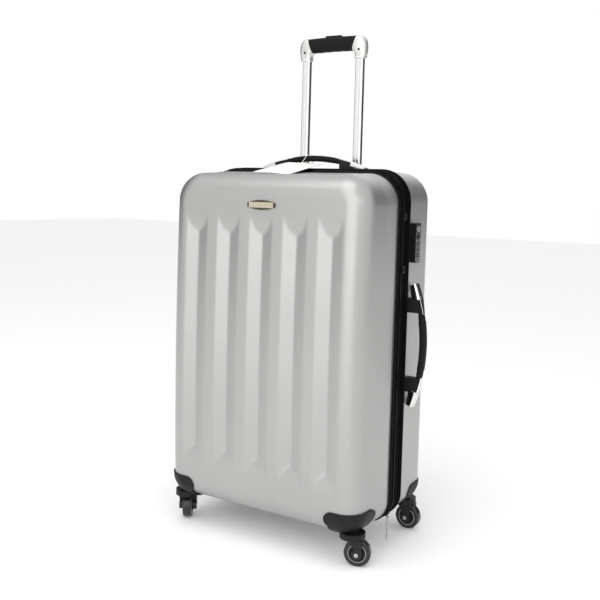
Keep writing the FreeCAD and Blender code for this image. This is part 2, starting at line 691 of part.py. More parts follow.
def polygon_body(name, points, y, depth):
    """A body padded by depth either side of y from a front-view outline of bound points."""
    body = doc.addObject("PartDesign::Body", name)
    plane = [f for f in body.Origin.OriginFeatures if f.Role == "XZ_Plane"][0]
    sk = body.newObject("Sketcher::SketchObject", name + "_outline")
    sk.AttachmentSupport = [(plane, "")]
    sk.MapMode = "FlatFace"
    sk.setExpression("AttachmentOffset.Base.z", bound(f"-({y})"))
    spots = [(eval_number(px), eval_number(pz)) for px, pz in points]
    for i, (x, z) in enumerate(spots):
        nx, nz = spots[(i + 1) % len(spots)]
        sk.addGeometry(Part.LineSegment(Vector(x, z, 0), Vector(nx, nz, 0)), False)
    for i in range(len(spots)):
        sk.addConstraint(constraint("Coincident", i, 2, (i + 1) % len(spots), 1))
    for i, ((px, pz), (x, z)) in enumerate(zip(points, spots)):
        number = sk.addConstraint(constraint("DistanceX", -1, 1, i, 1, x))
        sk.setExpression(f"Constraints[{number}]", bound(px))
        number = sk.addConstraint(constraint("DistanceY", -1, 1, i, 1, z))
        sk.setExpression(f"Constraints[{number}]", bound(pz))
    pad = body.newObject("PartDesign::Pad", name + "_pad")
    pad.Profile = sk
    pad.Midplane = True
    pad.setExpression("Length", bound(f"2*({depth})"))
    return body


def elbow(hand, sx):
    """The cast corner between a tube and the grip, open below for the tube."""
    x = "tube_half_spacing"
    points = [
        (f"{sx}({x} - tube_wide/2 - 2)", "elbow_bottom"),
        (f"{sx}({x} + tube_wide/2 + 2)", "elbow_bottom"),
        (f"{sx}(grip_half - 1)", "elbow_bottom + 14"),
        (f"{sx}grip_half", "grip_top - 16"),
        (f"{sx}(grip_half - 5)", "grip_top - 6"),
        (f"{sx}(grip_half - 14)", "grip_top - 1"),
        (f"{sx}grip_joint_top", "grip_top"),
        (f"{sx}grip_joint_bottom", "grip_bottom"),
        (f"{sx}({x} - tube_wide/2 - 3)", "grip_bottom - 6"),
    ]
    if sx:
        points.reverse()
    block = polygon_body(f"elbow_block_{hand}", points, "tube_y", "tube_deep/2 + 3.5")
    soft = rounded(f"elbow_soft_{hand}", block, 3.0,
                   lambda e: abs(abs(e.BoundBox.Center.y - D["tube_y"])
                                 - D["tube_deep"] / 2 - 3.5) < 0.01
                   and e.BoundBox.ZMax > D["elbow_bottom"] + 1
                   and e.BoundBox.YLength < 0.1
                   and not crosses_joint(e))
    socket = box(f"elbow_socket_{hand}", f"{sx}{x} - tube_wide/2", f"{sx}{x} + tube_wide/2",
                 "tube_y - tube_deep/2", "tube_y + tube_deep/2", "elbow_bottom - 1",
                 "elbow_bottom + 12")
    socket = rounded(f"elbow_socket_round_{hand}", socket, D["tube_round"], along("Z"))
    screw = rod(f"elbow_screw_{hand}", "Y", "3", "6", f"{sx}{x}", "tube_y - tube_deep/2 - 4.5",
                "elbow_bottom + 20")
    wire = rod(f"elbow_rod_{hand}", "Z", "rod_radius + 0.5", "60", f"{sx}{x}", "tube_y",
               "elbow_bottom")
    link = box(f"elbow_link_{hand}", *span(sx, "grip_joint_bottom - 8", f"{x} + 3"), "tube_y - 3",
               "tube_y + 3", "elbow_bottom + bar_height - 4", "elbow_bottom + bar_height + 10")
    return cut(f"elbow_{hand}", soft, socket, screw, wire, link)


def crosses_joint(edge):
    """True for the slanted edges where an elbow meets the grip."""
    low, high = D["grip_joint_bottom"], D["grip_joint_top"]
    middle = abs(edge.BoundBox.Center.x)
    return low < middle < high and edge.BoundBox.ZLength > 25


node("trolley_elbows", fuse("trolley_elbows", *[elbow(hand, sx) for hand, sx in SIDES]))
grip_block = polygon_body("grip_block", [
    ("-grip_joint_bottom", "grip_bottom"), ("grip_joint_bottom", "grip_bottom"),
    ("grip_joint_top", "grip_top"), ("-grip_joint_top", "grip_top"),
], "tube_y", "grip_deep/2")
grip_soft = rounded("grip_soft", grip_block, 8.0, along("X"))
grip_hollow = box("grip_hollow", "-grip_joint_top", "grip_joint_top", "tube_y - 3.2",
                  "tube_y + 3.2", "elbow_bottom + bar_height - 4",
                  "elbow_bottom + bar_height + 10")
button_well = box("button_well", "-button_half - 0.5", "button_half + 0.5",
                  "tube_y - button_deep/2 - 0.5", "tube_y + button_deep/2 + 0.5",
                  "elbow_bottom + bar_height + 9", "grip_top + 5")
node("trolley_grip", cut("trolley_grip", grip_soft, grip_hollow, button_well))

button_block = box("button_block", "-button_half", "button_half", "tube_y - button_deep/2",
                   "tube_y + button_deep/2", "grip_top - 9", "grip_top + button_proud")
button_soft = rounded("button_soft", button_block, 2.0, along("Z"))
button_stem = box("button_stem", "-6", "6", "tube_y - 2.5", "tube_y + 2.5",
                  "elbow_bottom + bar_height + bar_thick", "grip_top - 8")
node("release_button", fuse("release_button", button_soft, button_stem))
rods = [rod(f"release_rod_{hand}", "Z", "rod_radius",
            "elbow_bottom + bar_height + 2 - inner_bottom - 20", f"{sx}tube_half_spacing", "tube_y",
            "inner_bottom + 20") for hand, sx in SIDES]
cross_bar = box("release_bar", "-tube_half_spacing - 1.5", "tube_half_spacing + 1.5",
                "tube_y - 2.5", "tube_y + 2.5", "elbow_bottom + bar_height",
                "elbow_bottom + bar_height + bar_thick")
node("release_rods", fuse("release_rods", *rods, cross_bar))
for hand, sx in SIDES:
    near, far = span(sx, "tube_half_spacing - 4",
                     "tube_half_spacing + tube_wide/2 - tube_wall - 0.4")
    plug = box(f"lock_pin_{hand}_block", near, far, "tube_y - 3", "tube_y + 3", "inner_bottom + 6",
               "inner_bottom + 16")
    node(f"{hand}_lock_pin", plug)

# ---------------------------------------------------------------- carry handles
def arch_radius(which):
    """The radius of a handle's outer curve, from its half length and the heights of its arch."""
    sag = f"({which}_rise - {which}_end)"
    return f"((handle_half^2 + {sag}^2) / (2*{sag}))"


def arch(name, which, drop0, drop1, s0, s1, wide):
    """Stretches of a handle's arch between two drops below its outer curve, s0 to s1 each side."""
    radius = arch_radius(which)
    centre = f"{which}_rise - {radius}"
    outer = rod(name + "_outer", "Y", f"{radius} - ({drop0})", "handle_wide*2", "0", "-handle_wide",
                centre)
    inner = rod(name + "_inner", "Y", f"{radius} - ({drop1})", "handle_wide*2", "0", "-handle_wide",
                centre)
    stretches = [box(f"{name}_{hand}", *span(sx, s0, s1), f"-({wide})/2", f"({wide})/2", "-8",
                     f"{which}_rise + 3") for hand, sx in SIDES]
    limit = fuse(name + "_limit", *stretches)
    return cut(name, common(name + "_band", outer, limit), inner)


def handle_pieces(which):
    """Grip, chrome caps and base blocks of one handle, lying along X with the case at z = 0."""
    name = which + "_handle"
    block_end = "handle_half - cap_block"
    tongue_low = "tongue_drop + tongue_thick"
    thick = arch(name + "_thick", which, "0", "handle_thick", "-0.01", "grip_step", "handle_wide")
    thick = rounded(name + "_soft", thick, 3.5, lambda e: e.Length > 60)
    tongue = arch(name + "_tongue", which, "tongue_drop", tongue_low, "grip_step - 6",
                  f"{block_end} - 1", "tongue_wide")
    grip = fuse(name + "_grip", thick, tongue)
    strap = arch(name + "_strap", which, "-1", "0.8", "grip_step + 0.6", "handle_half",
                 "handle_wide - 2")
    block = arch(name + "_block", which, "-1", "40", block_end, "handle_half + 4", "handle_wide + 2")
    cheeks = cut(name + "_cheeks",
                 arch(name + "_cheek", which, "-1", "3.5", "grip_step + 0.6", "handle_half",
                      "handle_wide + 2"),
                 arch(name + "_between", which, "0.8", "40", "grip_step", block_end,
                      "tongue_wide + 1.5"))
    caps = fuse(name + "_caps", strap, block, cheeks)
    base = cut(name + "_base",
               arch(name + "_base_arch", which, "3.5", "60", "grip_step + 2", block_end,
                    "handle_wide"),
               arch(name + "_slot", which, "-1", f"{tongue_low} + 0.4", "grip_step", block_end,
                    "tongue_wide + 1.5"))
    return grip, caps, base


top_grip, top_caps, top_base = handle_pieces("top")
side_grip, side_caps, side_base = handle_pieces("side")
SIDE_TURN = Rotation(Vector(0, 1, 0), 90)
for obj in (top_grip, top_caps, top_base):
    at(obj, "0", "handle_y", "case_top")
for obj in (side_grip, side_caps, side_base):
    obj.Placement = Placement(Vector(), SIDE_TURN)
    at(obj, "case_width/2", "handle_y", "side_handle_z")
node("top_handle_grip", top_grip)
node("side_handle_grip", side_grip)
node("handle_caps", cut("handle_caps", fuse("all_caps", top_caps, side_caps), rear_form))
node("handle_bases", cut("handle_bases", fuse("all_bases", top_base, side_base), rear_form))

# ---------------------------------------------------------------- lock
FACE = "case_width/2 + lock_proud"
lock_block = box("lock_block", "case_width/2 - 6", FACE, "lock_y - lock_wide/2",
                 "lock_y + lock_wide/2", "lock_z - lock_tall/2", "lock_z + lock_tall/2")
lock_soft = rounded("lock_soft", lock_block, 5.0, along("X"))
lock_seat = cut("lock_seat", lock_soft, rear_form)
DIAL_X = f"{FACE} + dial_proud - dial_radius"
DIALS = {"bottom": "lock_z - 24", "middle": "lock_z - 24 + dial_pitch",
         "top": "lock_z - 24 + 2*dial_pitch"}
dial_slots = [
    box(f"dial_slot_{place}", f"{DIAL_X} - dial_radius - 0.4", f"{FACE} + 5",
        "lock_y - dial_radius - 0.4", "lock_y + dial_radius + 0.4", f"{z} - dial_thick/2 - 0.4",
        f"{z} + dial_thick/2 + 0.4") for place, z in DIALS.items()]
spindle = rod("dial_spindle", "Z", "1.2", "3*dial_pitch + 2", DIAL_X, "lock_y",
              "lock_z - 24 - dial_pitch/2 - 1")
KEY_Z = "lock_z + lock_tall/2 - 12"
SLIDE_Z = "lock_z + 12"
key_bore = rod("key_bore", "X", "key_radius + running_gap", "20", f"{FACE} - 8", "lock_y", KEY_Z)
slide_well = box("slide_well", f"{FACE} - 3", f"{FACE} + 5", "lock_y - 5.4", "lock_y + 5.4",
                 f"{SLIDE_Z} - 4.4", f"{SLIDE_Z} + 4.4")
lock_shape = cut("lock_shape", lock_seat, *dial_slots, key_bore, slide_well)
node("lock_body", fuse("lock_body", lock_shape, spindle))
for place, z in DIALS.items():
    wheel = rod(f"dial_wheel_{place}", "Z", "dial_radius", "dial_thick", DIAL_X, "lock_y",
                f"{z} - dial_thick/2")
    bore = rod(f"dial_bore_{place}", "Z", "1.2 + running_gap", "20", DIAL_X, "lock_y", f"{z} - 10")
    node(f"lock_dial_{place}", cut(f"lock_dial_{place}", wheel, bore))
key_drum = rod("key_drum", "X", "key_radius", "9", f"{FACE} - 7.7", "lock_y", KEY_Z)
key_slot = box("key_slot", f"{FACE} - 2", f"{FACE} + 3", "lock_y - 0.6", "lock_y + 0.6",
               f"{KEY_Z} - 3.5", f"{KEY_Z} + 3.5")
node("key_cylinder", cut("key_cylinder", key_drum, key_slot))
node("lock_slide", box("lock_slide", f"{FACE} - 2.7", f"{FACE} + 1.2", "lock_y - 5", "lock_y + 5",
                       f"{SLIDE_Z} - 4", f"{SLIDE_Z} + 1"))

# ---------------------------------------------------------------- zips and their pulls
CORNER_X, CORNER_Z = "(case_width/2 - bottom_corner)", "(case_bottom + bottom_corner)"


def slider(name, x, y, z, turn):
    """A zip slider's body on the band, turned about Y to face outwards along +Z before turning."""
    obj = fuse(name, box(name + "_body", "-7", "7", "-4.5", "4.5", "0", "3.2"),
               box(name + "_bridge", "-4", "4", "-1.5", "1.5", "3", "5"))
    obj.Placement = Placement(Vector(), Rotation(Vector(0, 1, 0), turn))
    return at(obj, x, y, z)


lean = math.degrees(math.atan2(D["pull_x"] - eval_number(CORNER_X),
                               -(eval_number(CORNER_Z)
                                 - math.sqrt((D["bottom_corner"] + 0.5) ** 2
                                             - (D["pull_x"] - eval_number(CORNER_X)) ** 2)
                                 - eval_number(CORNER_Z))))
PULL_Z = f"{CORNER_Z} - sqrt((bottom_corner + 0.5)^2 - (pull_x - {CORNER_X})^2)"
PULL_Y = "zip_line + tape_width/2 + 2"
corner_slider = slider("corner_slider", "pull_x", PULL_Y, PULL_Z, 180.0 - lean)
upper_slider = slider("upper_slider", "case_width/2 + tape_proud + 0.05", PULL_Y,
                      "lock_z + lock_tall/2 + 12", 90.0)
lower_slider = slider("lower_slider", "case_width/2 + tape_proud + 0.05", PULL_Y,
                      "lock_z - lock_tall/2 - 12", 90.0)
node("zip_sliders", fuse("zip_sliders", corner_slider, upper_slider, lower_slider))
PIVOT_X = f"pull_x + 5.5*sin({lean})"
PIVOT_Z = f"{PULL_Z} - 5.5*cos({lean})"
pull_ring = rod("pull_ring", "Y", "2.6", "3.2", "0", "-1.6", "0")
pull_eye = rod("pull_eye", "Y", "1.2", "5", "0", "-2.5", "0")
pull_rod = rod("pull_rod", "Z", "1.5", "pull_length - 6", "0", "0", "-pull_length")
pull_tip = rod("pull_tip", "Z", "2.2", "9", "0", "0", "-pull_length")
zip_pull = cut("zip_pull", fuse("pull_body", pull_ring, pull_rod, pull_tip,
                                box("pull_neck", "-1.3", "1.3", "-1.3", "1.3", "-8", "-2")), pull_eye)
at(zip_pull, PIVOT_X, PULL_Y, f"{PIVOT_Z} - 3.2")
node("zip_pull", zip_pull)

# ---------------------------------------------------------------- straps
straps = []
for name, angle in (("strap_up", 38.0), ("strap_down", -38.0)):
    webs = [box(f"{name}_{hand}", *span(sx, "-5", "(case_width/2 - 12)/cos(38)"),
                "-strap_thick/2", "strap_thick/2", "-strap_wide/2", "strap_wide/2")
            for hand, sx in SIDES]
    holder = fuse(name, *webs)
    holder.Placement = Placement(Vector(), Rotation(Vector(0, 1, 0), angle))
    straps.append(at(holder, "0", "strap_y", "(case_top + case_bottom)/2"))
strap_limit = slab("strap_limit", LINER + " + 0.2", "strap_y - 8", "strap_y + 8")
node("cross_straps", common("cross_straps", fuse("straps", *straps), strap_limit))
buckle_block = box("buckle_block", "-24", "24", "strap_y - 5", "strap_y - strap_thick/2",
                   "(case_top + case_bottom)/2 - 20", "(case_top + case_bottom)/2 + 20")
node("strap_buckle", rounded("strap_buckle", buckle_block, 6.0, along("Y")))

# ---------------------------------------------------------------- swing tag and its string
card = doc.addObject("Part::Box", "card")
size(card, Length="tag_wide", Width="tag_long", Height="tag_thick")
eyelet = rod("eyelet", "Z", "2.5", "10", "tag_wide/2", "tag_long - 9", "-5")
swing_tag = cut("swing_tag", card, eyelet)
TAG_TILT = Rotation(Vector(1, 0, 0), 8.8) * Rotation(Vector(0, 1, 0), 3.0)
corner = Vector(D["tag_x"], D["tag_y"], D["tag_z"]) - TAG_TILT.multVec(
    Vector(D["tag_wide"] / 2, D["tag_long"] / 2, 0))
swing_tag.Placement = Placement(corner, TAG_TILT)
node("swing_tag", swing_tag)


def cord_path(points):
    """Straight runs between the points joined by tangent arcs, each as large as its runs allow."""
    edges = []
    start = points[0]
    for before, here, after in zip(points, points[1:], points[2:]):
        back, ahead = (before - here).normalize(), (after - here).normalize()
        half_turn = (math.pi - back.getAngle(ahead)) / 2
        reach = 0.45 * min((before - here).Length, (after - here).Length)
        print(f"cord arc radius {reach / math.tan(half_turn):.1f}")
        first, last = here + back * reach, here + ahead * reach
        bisector = (back + ahead).normalize()
        radius = reach / math.tan(half_turn)
        middle = here + bisector * (math.hypot(reach, radius) - radius)
        edges.append(Part.LineSegment(start, first).toShape())
        edges.append(Part.Arc(first, middle, last).toShape())
        start = last
    edges.append(Part.LineSegment(start, points[-1]).toShape())
    return Part.Wire(edges)


# Route of the string: out of the eyelet, up in front of the grip, over it and back underneath.
TAG_STRING = [(-13.2, 11, 765.9), (-13.8, 13.2, 769.8), (-14, 19.5, 774), (-13.6, 25.5, 779),
              (-12.5, 30.5, 785.2), (-10.5, 38.5, 787), (-9.5, 47.5, 786), (-9.5, 52.6, 780.5),
              (-9.5, 53, 773.5), (-10, 48.5, 768.4), (-11, 40.5, 767.2), (-12.3, 32, 767.4),
              (-12.6, 24, 768.8), (-12, 17.5, 769.3), (-11.1, 11.9, 765.9)]
tag_string = doc.addObject("Part::Feature", "tag_string")
route = cord_path([Vector(*point) for point in TAG_STRING])
section = Part.Wire(Part.makeCircle(D["string_radius"], route.Vertexes[0].Point,
                                    Vector(*TAG_STRING[1]) - Vector(*TAG_STRING[0])))
tag_string.Shape = route.makePipeShell([section], True, False)
expected = math.pi * D["string_radius"] ** 2 * route.Length
print(f"cord volume {tag_string.Shape.Volume:.2f}, section times length {expected:.2f}")
node("tag_string", tag_string)

# ---------------------------------------------------------------- check and export
doc.recompute()
for obj in doc.Objects:
    if {"Invalid", "Error"} & set(obj.State):
        raise RuntimeError(f"{obj.Name} did not build: {obj.State}")
for name, obj in sub_parts.items():
    if obj.Shape.isNull() or not obj.Shape.isValid() or not obj.Shape.Solids:
        raise RuntimeError(f"{name} has no valid shape")
for name, obj in sub_parts.items():
    obj.Shape.exportStep(f"parts/{name}.step")
print(f"{len(sub_parts)} sub-parts written")
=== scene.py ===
import json
import math

import bmesh
import bpy
from mathutils import Matrix, Vector


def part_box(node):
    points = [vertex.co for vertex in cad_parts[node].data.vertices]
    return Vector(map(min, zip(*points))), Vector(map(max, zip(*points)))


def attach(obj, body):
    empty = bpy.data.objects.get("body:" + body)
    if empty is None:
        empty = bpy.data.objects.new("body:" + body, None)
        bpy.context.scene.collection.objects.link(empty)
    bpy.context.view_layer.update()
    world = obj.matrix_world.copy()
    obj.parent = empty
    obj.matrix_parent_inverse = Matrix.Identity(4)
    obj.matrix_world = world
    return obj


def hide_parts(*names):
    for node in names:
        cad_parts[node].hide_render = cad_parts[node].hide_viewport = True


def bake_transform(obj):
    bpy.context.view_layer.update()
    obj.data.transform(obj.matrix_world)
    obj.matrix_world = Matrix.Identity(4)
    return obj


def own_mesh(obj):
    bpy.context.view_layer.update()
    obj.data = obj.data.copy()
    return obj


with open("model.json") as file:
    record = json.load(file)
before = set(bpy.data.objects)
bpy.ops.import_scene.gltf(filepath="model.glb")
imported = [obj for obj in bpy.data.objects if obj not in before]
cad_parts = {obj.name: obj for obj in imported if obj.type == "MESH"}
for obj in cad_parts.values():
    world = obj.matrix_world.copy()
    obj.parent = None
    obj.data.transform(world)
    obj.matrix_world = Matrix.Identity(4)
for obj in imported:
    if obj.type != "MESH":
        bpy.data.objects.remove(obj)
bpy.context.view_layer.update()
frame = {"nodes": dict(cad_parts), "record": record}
print("frame loaded")

# finishes: everything that can be repainted is in this dictionary
finishes = {
    "silverLacquer": {
        "colour": (0.415, 0.417, 0.408), "shade": (0.385, 0.387, 0.379), "patch": 7.0,
        "rough": (0.33, 0.41), "metal": 0.72, "coat": 0.35, "coatRough": 0.22, "grain": 2600.0,
        "bump": 0.03, "edge": 0.0012},
    "liningCloth": {
        "specular": 0.2, "colour": (0.045, 0.046, 0.052), "shade": (0.03, 0.03, 0.035),
        "patch": 18.0, "rough": (0.7, 0.85), "weave": 900.0, "bump": 0.35, "sheen": 0.3},
    "bandTape": {
        "specular": 0.02, "colour": (0.004, 0.004, 0.0042), "shade": (0.002, 0.002, 0.002),
        "patch": 60.0, "rough": (0.55, 0.72), "weave": 1500.0, "bump": 0.4},
    "piping": {
        "specular": 0.08, "colour": (0.004, 0.004, 0.0043), "shade": (0.002, 0.002, 0.002),
        "patch": 90.0, "rough": (0.34, 0.5), "weave": 1300.0, "bump": 0.25},
    "zipCoil": {
        "specular": 0.1, "colour": (0.012, 0.012, 0.013), "shade": (0.008, 0.008, 0.008),
        "patch": 50.0, "rough": (0.3, 0.4), "grain": 900.0, "bump": 0.05},
    "webbing": {
        "specular": 0.2, "colour": (0.03, 0.03, 0.034), "shade": (0.018, 0.018, 0.02),
        "patch": 40.0, "rough": (0.6, 0.8), "weave": 700.0, "bump": 0.5, "sheen": 0.3},
    "guardPlastic": {
        "specular": 0.2, "colour": (0.012, 0.012, 0.0123), "shade": (0.008, 0.008, 0.0083),
        "patch": 25.0, "rough": (0.42, 0.56), "grain": 1500.0, "bump": 0.18, "edge": 0.0008},
    "forkPlastic": {
        "specular": 0.25, "colour": (0.016, 0.016, 0.017), "shade": (0.011, 0.011, 0.012),
        "patch": 40.0, "rough": (0.25, 0.36), "grain": 1400.0, "bump": 0.07, "edge": 0.0008},
    "pianoBlack": {
        "specular": 0.4, "colour": (0.008, 0.008, 0.009), "shade": (0.012, 0.012, 0.013),
        "patch": 30.0, "rough": (0.1, 0.2), "grain": 700.0, "bump": 0.02, "coat": 0.5,
        "coatRough": 0.06, "edge": 0.0007},
    "satinBlack": {
        "specular": 0.2, "colour": (0.014, 0.014, 0.015), "shade": (0.01, 0.01, 0.01),
        "patch": 35.0, "rough": (0.32, 0.45), "grain": 1200.0, "bump": 0.1, "edge": 0.0006},
    "softGrip": {
        "specular": 0.12, "colour": (0.006, 0.006, 0.006), "shade": (0.009, 0.009, 0.009),
        "patch": 45.0, "rough": (0.5, 0.66), "grain": 1800.0, "bump": 0.3},
    "chromePlate": {
        "colour": (0.78, 0.78, 0.76), "shade": (0.72, 0.72, 0.7), "patch": 30.0,
        "rough": (0.07, 0.16), "metal": 1.0, "grain": 300.0, "bump": 0.02, "edge": 0.0006},
    "polishedTube": {
        "colour": (0.82, 0.83, 0.83), "shade": (0.76, 0.77, 0.77), "patch": 12.0,
        "rough": (0.16, 0.27), "metal": 1.0, "brushed": (160.0, 160.0, 3.0), "bump": 0.003},
    "castElbow": {
        "colour": (0.7, 0.7, 0.68), "shade": (0.63, 0.63, 0.61), "patch": 40.0,
        "rough": (0.28, 0.4), "metal": 0.8, "grain": 1100.0, "bump": 0.08, "edge": 0.0012},
    "platedSteel": {
        "colour": (0.55, 0.55, 0.54), "shade": (0.42, 0.42, 0.41), "patch": 70.0,
        "rough": (0.22, 0.38), "metal": 1.0, "grain": 900.0, "bump": 0.08, "edge": 0.0003},
    "wheelRubber": {
        "specular": 0.35, "colour": (0.009, 0.009, 0.009), "shade": (0.02, 0.019, 0.018),
        "patch": 45.0, "rough": (0.2, 0.38), "grain": 1300.0, "bump": 0.12, "coat": 0.25,
        "coatRough": 0.15, "edge": 0.0008},
    "paleRing": {
        "colour": (0.42, 0.42, 0.4), "shade": (0.3, 0.3, 0.29), "patch": 60.0, "rough": (0.3, 0.45),
        "grain": 900.0, "bump": 0.06},
    "champagne": {
        "colour": (0.6, 0.55, 0.43), "shade": (0.52, 0.47, 0.36), "patch": 50.0,
        "rough": (0.25, 0.36), "metal": 0.9, "brushed": (40.0, 40.0, 1400.0), "bump": 0.08},
    "darkBronze": {
        "colour": (0.1, 0.085, 0.062), "shade": (0.06, 0.05, 0.04), "patch": 60.0,
        "rough": (0.22, 0.34), "metal": 0.85, "grain": 900.0, "bump": 0.05, "edge": 0.0006},
    "coatedCard": {
        "colour": (0.86, 0.86, 0.83), "shade": (0.8, 0.8, 0.77), "patch": 25.0,
        "rough": (0.38, 0.5), "grain": 1600.0, "bump": 0.05},
    "cardString": {
        "colour": (0.82, 0.82, 0.79), "shade": (0.7, 0.7, 0.67), "patch": 300.0,
        "rough": (0.6, 0.75), "grain": 2500.0, "bump": 0.4},
}

# the weave's valley share is painted shade: it sets how far the colour darkens where the threads sink
surface = {"patchDetail": 4.0, "patchFrom": (0.3, 0.7), "relief": 0.0004, "threadTurns": (45.0, -45.0),
           "threadShare": 6.0, "threadWaver": 0.6, "valleyShadeShare": 0.5, "grainDetail": 3.0, "bevelSamples": 4}


def makeFinish(name, look):
    made = bpy.data.materials.new(name)
    made.use_nodes = True
    nodes, links = made.node_tree.nodes, made.node_tree.links
    shader = nodes["Principled BSDF"]
    shader.inputs["Metallic"].default_value = look.get("metal", 0.0)
    shader.inputs["Coat Weight"].default_value = look.get("coat", 0.0)
    shader.inputs["Coat Roughness"].default_value = look.get("coatRough", 0.1)
    shader.inputs["Sheen Weight"].default_value = look.get("sheen", 0.0)
    shader.inputs["Specular IOR Level"].default_value = look.get("specular", 0.5)
    place = nodes.new("ShaderNodeTexCoord").outputs["Object"]

    patches = nodes.new("ShaderNodeTexNoise")  # slow drift of tone and gloss
    patches.inputs["Scale"].default_value = look["patch"]
    patches.inputs["Detail"].default_value = surface["patchDetail"]
    links.new(place, patches.inputs["Vector"])
    tone = nodes.new("ShaderNodeMix")
    tone.data_type = "RGBA"
    tone.inputs["A"].default_value = (*look["colour"], 1.0)
    tone.inputs["B"].default_value = (*look["shade"], 1.0)
    links.new(patches.outputs["Fac"], tone.inputs["Factor"])
    gloss = nodes.new("ShaderNodeMapRange")
    gloss.inputs["From Min"].default_value, gloss.inputs["From Max"].default_value = surface["patchFrom"]
    gloss.inputs["To Min"].default_value, gloss.inputs["To Max"].default_value = look["rough"]
    links.new(patches.outputs["Fac"], gloss.inputs["Value"])
    links.new(gloss.outputs["Result"], shader.inputs["Roughness"])

    relief = nodes.new("ShaderNodeBump")
    relief.inputs["Strength"].default_value = look["bump"]
    relief.inputs["Distance"].default_value = surface["relief"]
    colourOut = tone.outputs["Result"]
    if "weave" in look:  # two crossed thread directions, each a band pattern
        threads = []
        for turn in surface["threadTurns"]:
            turned = nodes.new("ShaderNodeMapping")
            turned.inputs["Rotation"].default_value = (math.radians(turn), math.radians(turn), 0.0)
            links.new(place, turned.inputs["Vector"])
            bands = nodes.new("ShaderNodeTexWave")
            bands.inputs["Scale"].default_value = look["weave"] / surface["threadShare"]
            bands.inputs["Distortion"].default_value = surface["threadWaver"]
            bands.inputs["Detail"].default_value = 1.0
            links.new(turned.outputs["Vector"], bands.inputs["Vector"])
            threads.append(bands.outputs["Fac"])
        cross = nodes.new("ShaderNodeMath")
        cross.operation = "MAXIMUM"
        links.new(threads[0], cross.inputs[0])
        links.new(threads[1], cross.inputs[1])
        links.new(cross.outputs["Value"], relief.inputs["Height"])
        # painted shade: the colour is darkened where the crossed threads sink, as if shade lay in the weave's valleys
        paintedValleyShade = nodes.new("ShaderNodeMix")
        paintedValleyShade.data_type = "RGBA"
        paintedValleyShade.blend_type = "MULTIPLY"
        paintedValleyShade.inputs["Factor"].default_value = surface["valleyShadeShare"]
        links.new(colourOut, paintedValleyShade.inputs["A"])
        links.new(cross.outputs["Value"], paintedValleyShade.inputs["B"])
        colourOut = paintedValleyShade.outputs["Result"]
    else:
        grain = nodes.new("ShaderNodeTexNoise")
        grain.inputs["Detail"].default_value = surface["grainDetail"]
        source = place
        if "brushed" in look:
            stretched = nodes.new("ShaderNodeMapping")
            stretched.inputs["Scale"].default_value = look["brushed"]
            links.new(place, stretched.inputs["Vector"])
            source = stretched.outputs["Vector"]
            grain.inputs["Scale"].default_value = 1.0
        else:
            grain.inputs["Scale"].default_value = look["grain"]
        links.new(source, grain.inputs["Vector"])
        links.new(grain.outputs["Fac"], relief.inputs["Height"])
    if "edge" in look:  # small rounding at the edges
        rounding = nodes.new("ShaderNodeBevel")
        rounding.samples = surface["bevelSamples"]
        rounding.inputs["Radius"].default_value = look["edge"]
        links.new(rounding.outputs["Normal"], relief.inputs["Normal"])
    links.new(colourOut, shader.inputs["Base Color"])
    links.new(relief.outputs["Normal"], shader.inputs["Normal"])
    return made


finish = {name: makeFinish(name, look) for name, look in finishes.items()}
print("finishes made:", len(finish))


merge = {"cad": 0.000004, "sweep": 0.000002, "ring": 0.000001}  # distances within which points are one


def keepPiece(name, bm, finishName, body, stands=(), smoothAngle=35.0, recalc=False):
    if recalc:
        bmesh.ops.recalc_face_normals(bm, faces=bm.faces)
    for face in bm.faces:
        face.smooth = True
    for edge in bm.edges:
        edge.smooth = edge.calc_face_angle(0.0) < math.radians(smoothAngle)
    mesh = bpy.data.meshes.new(name)
    bm.to_mesh(mesh)
    bm.free()
    piece = bpy.data.objects.new(name, mesh)
    bpy.context.scene.collection.objects.link(piece)
    mesh.materials.append(finish[finishName])
    if body:
        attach(piece, body)
    if stands:
        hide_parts(*stands)
    return piece


def pourInto(target, one):
    carried = bpy.data.meshes.new("carried")
    one.to_mesh(carried)
    one.free()
    target.from_mesh(carried)
    bpy.data.meshes.remove(carried)


def cadCopy(nodeName):
    bm = bmesh.new()
    bm.from_mesh(frame["nodes"][nodeName].data)
    bmesh.ops.remove_doubles(bm, verts=bm.verts, dist=merge["cad"])
    return bm


def wrapGrid(along, around, place):
    # a grid rolled into a closed tube: place(u, turn) gives the spot for u from 0 to 1 and turn from 0 to 1
    bm = bmesh.new()
    bmesh.ops.create_grid(bm, x_segments=along, y_segments=around, size=1.0, calc_uvs=False)
    for vert in bm.verts:
        vert.co = place((vert.co.x + 1) / 2, (vert.co.y + 1) / 2)
    bmesh.ops.remove_doubles(bm, verts=bm.verts, dist=merge["sweep"])
    rims = [edge for edge in bm.edges if edge.is_boundary]
    bmesh.ops.holes_fill(bm, edges=rims, sides=0)
    bmesh.ops.recalc_face_normals(bm, faces=bm.faces)
    return bm


def roundedRect(turn, halfWide, halfTall, power=5.0):
    # superellipse spot for a turn from 0 to 1
    angle = 2 * math.pi * turn
    c, s = math.cos(angle), math.sin(angle)
    reach = (abs(c) ** power + abs(s) ** power) ** (-1 / power)
    return c * reach * halfWide, s * reach * halfTall


def ease(value, low, high):
    t = min(max((value - low) / (high - low), 0.0), 1.0)
    return t * t * (3 - 2 * t)


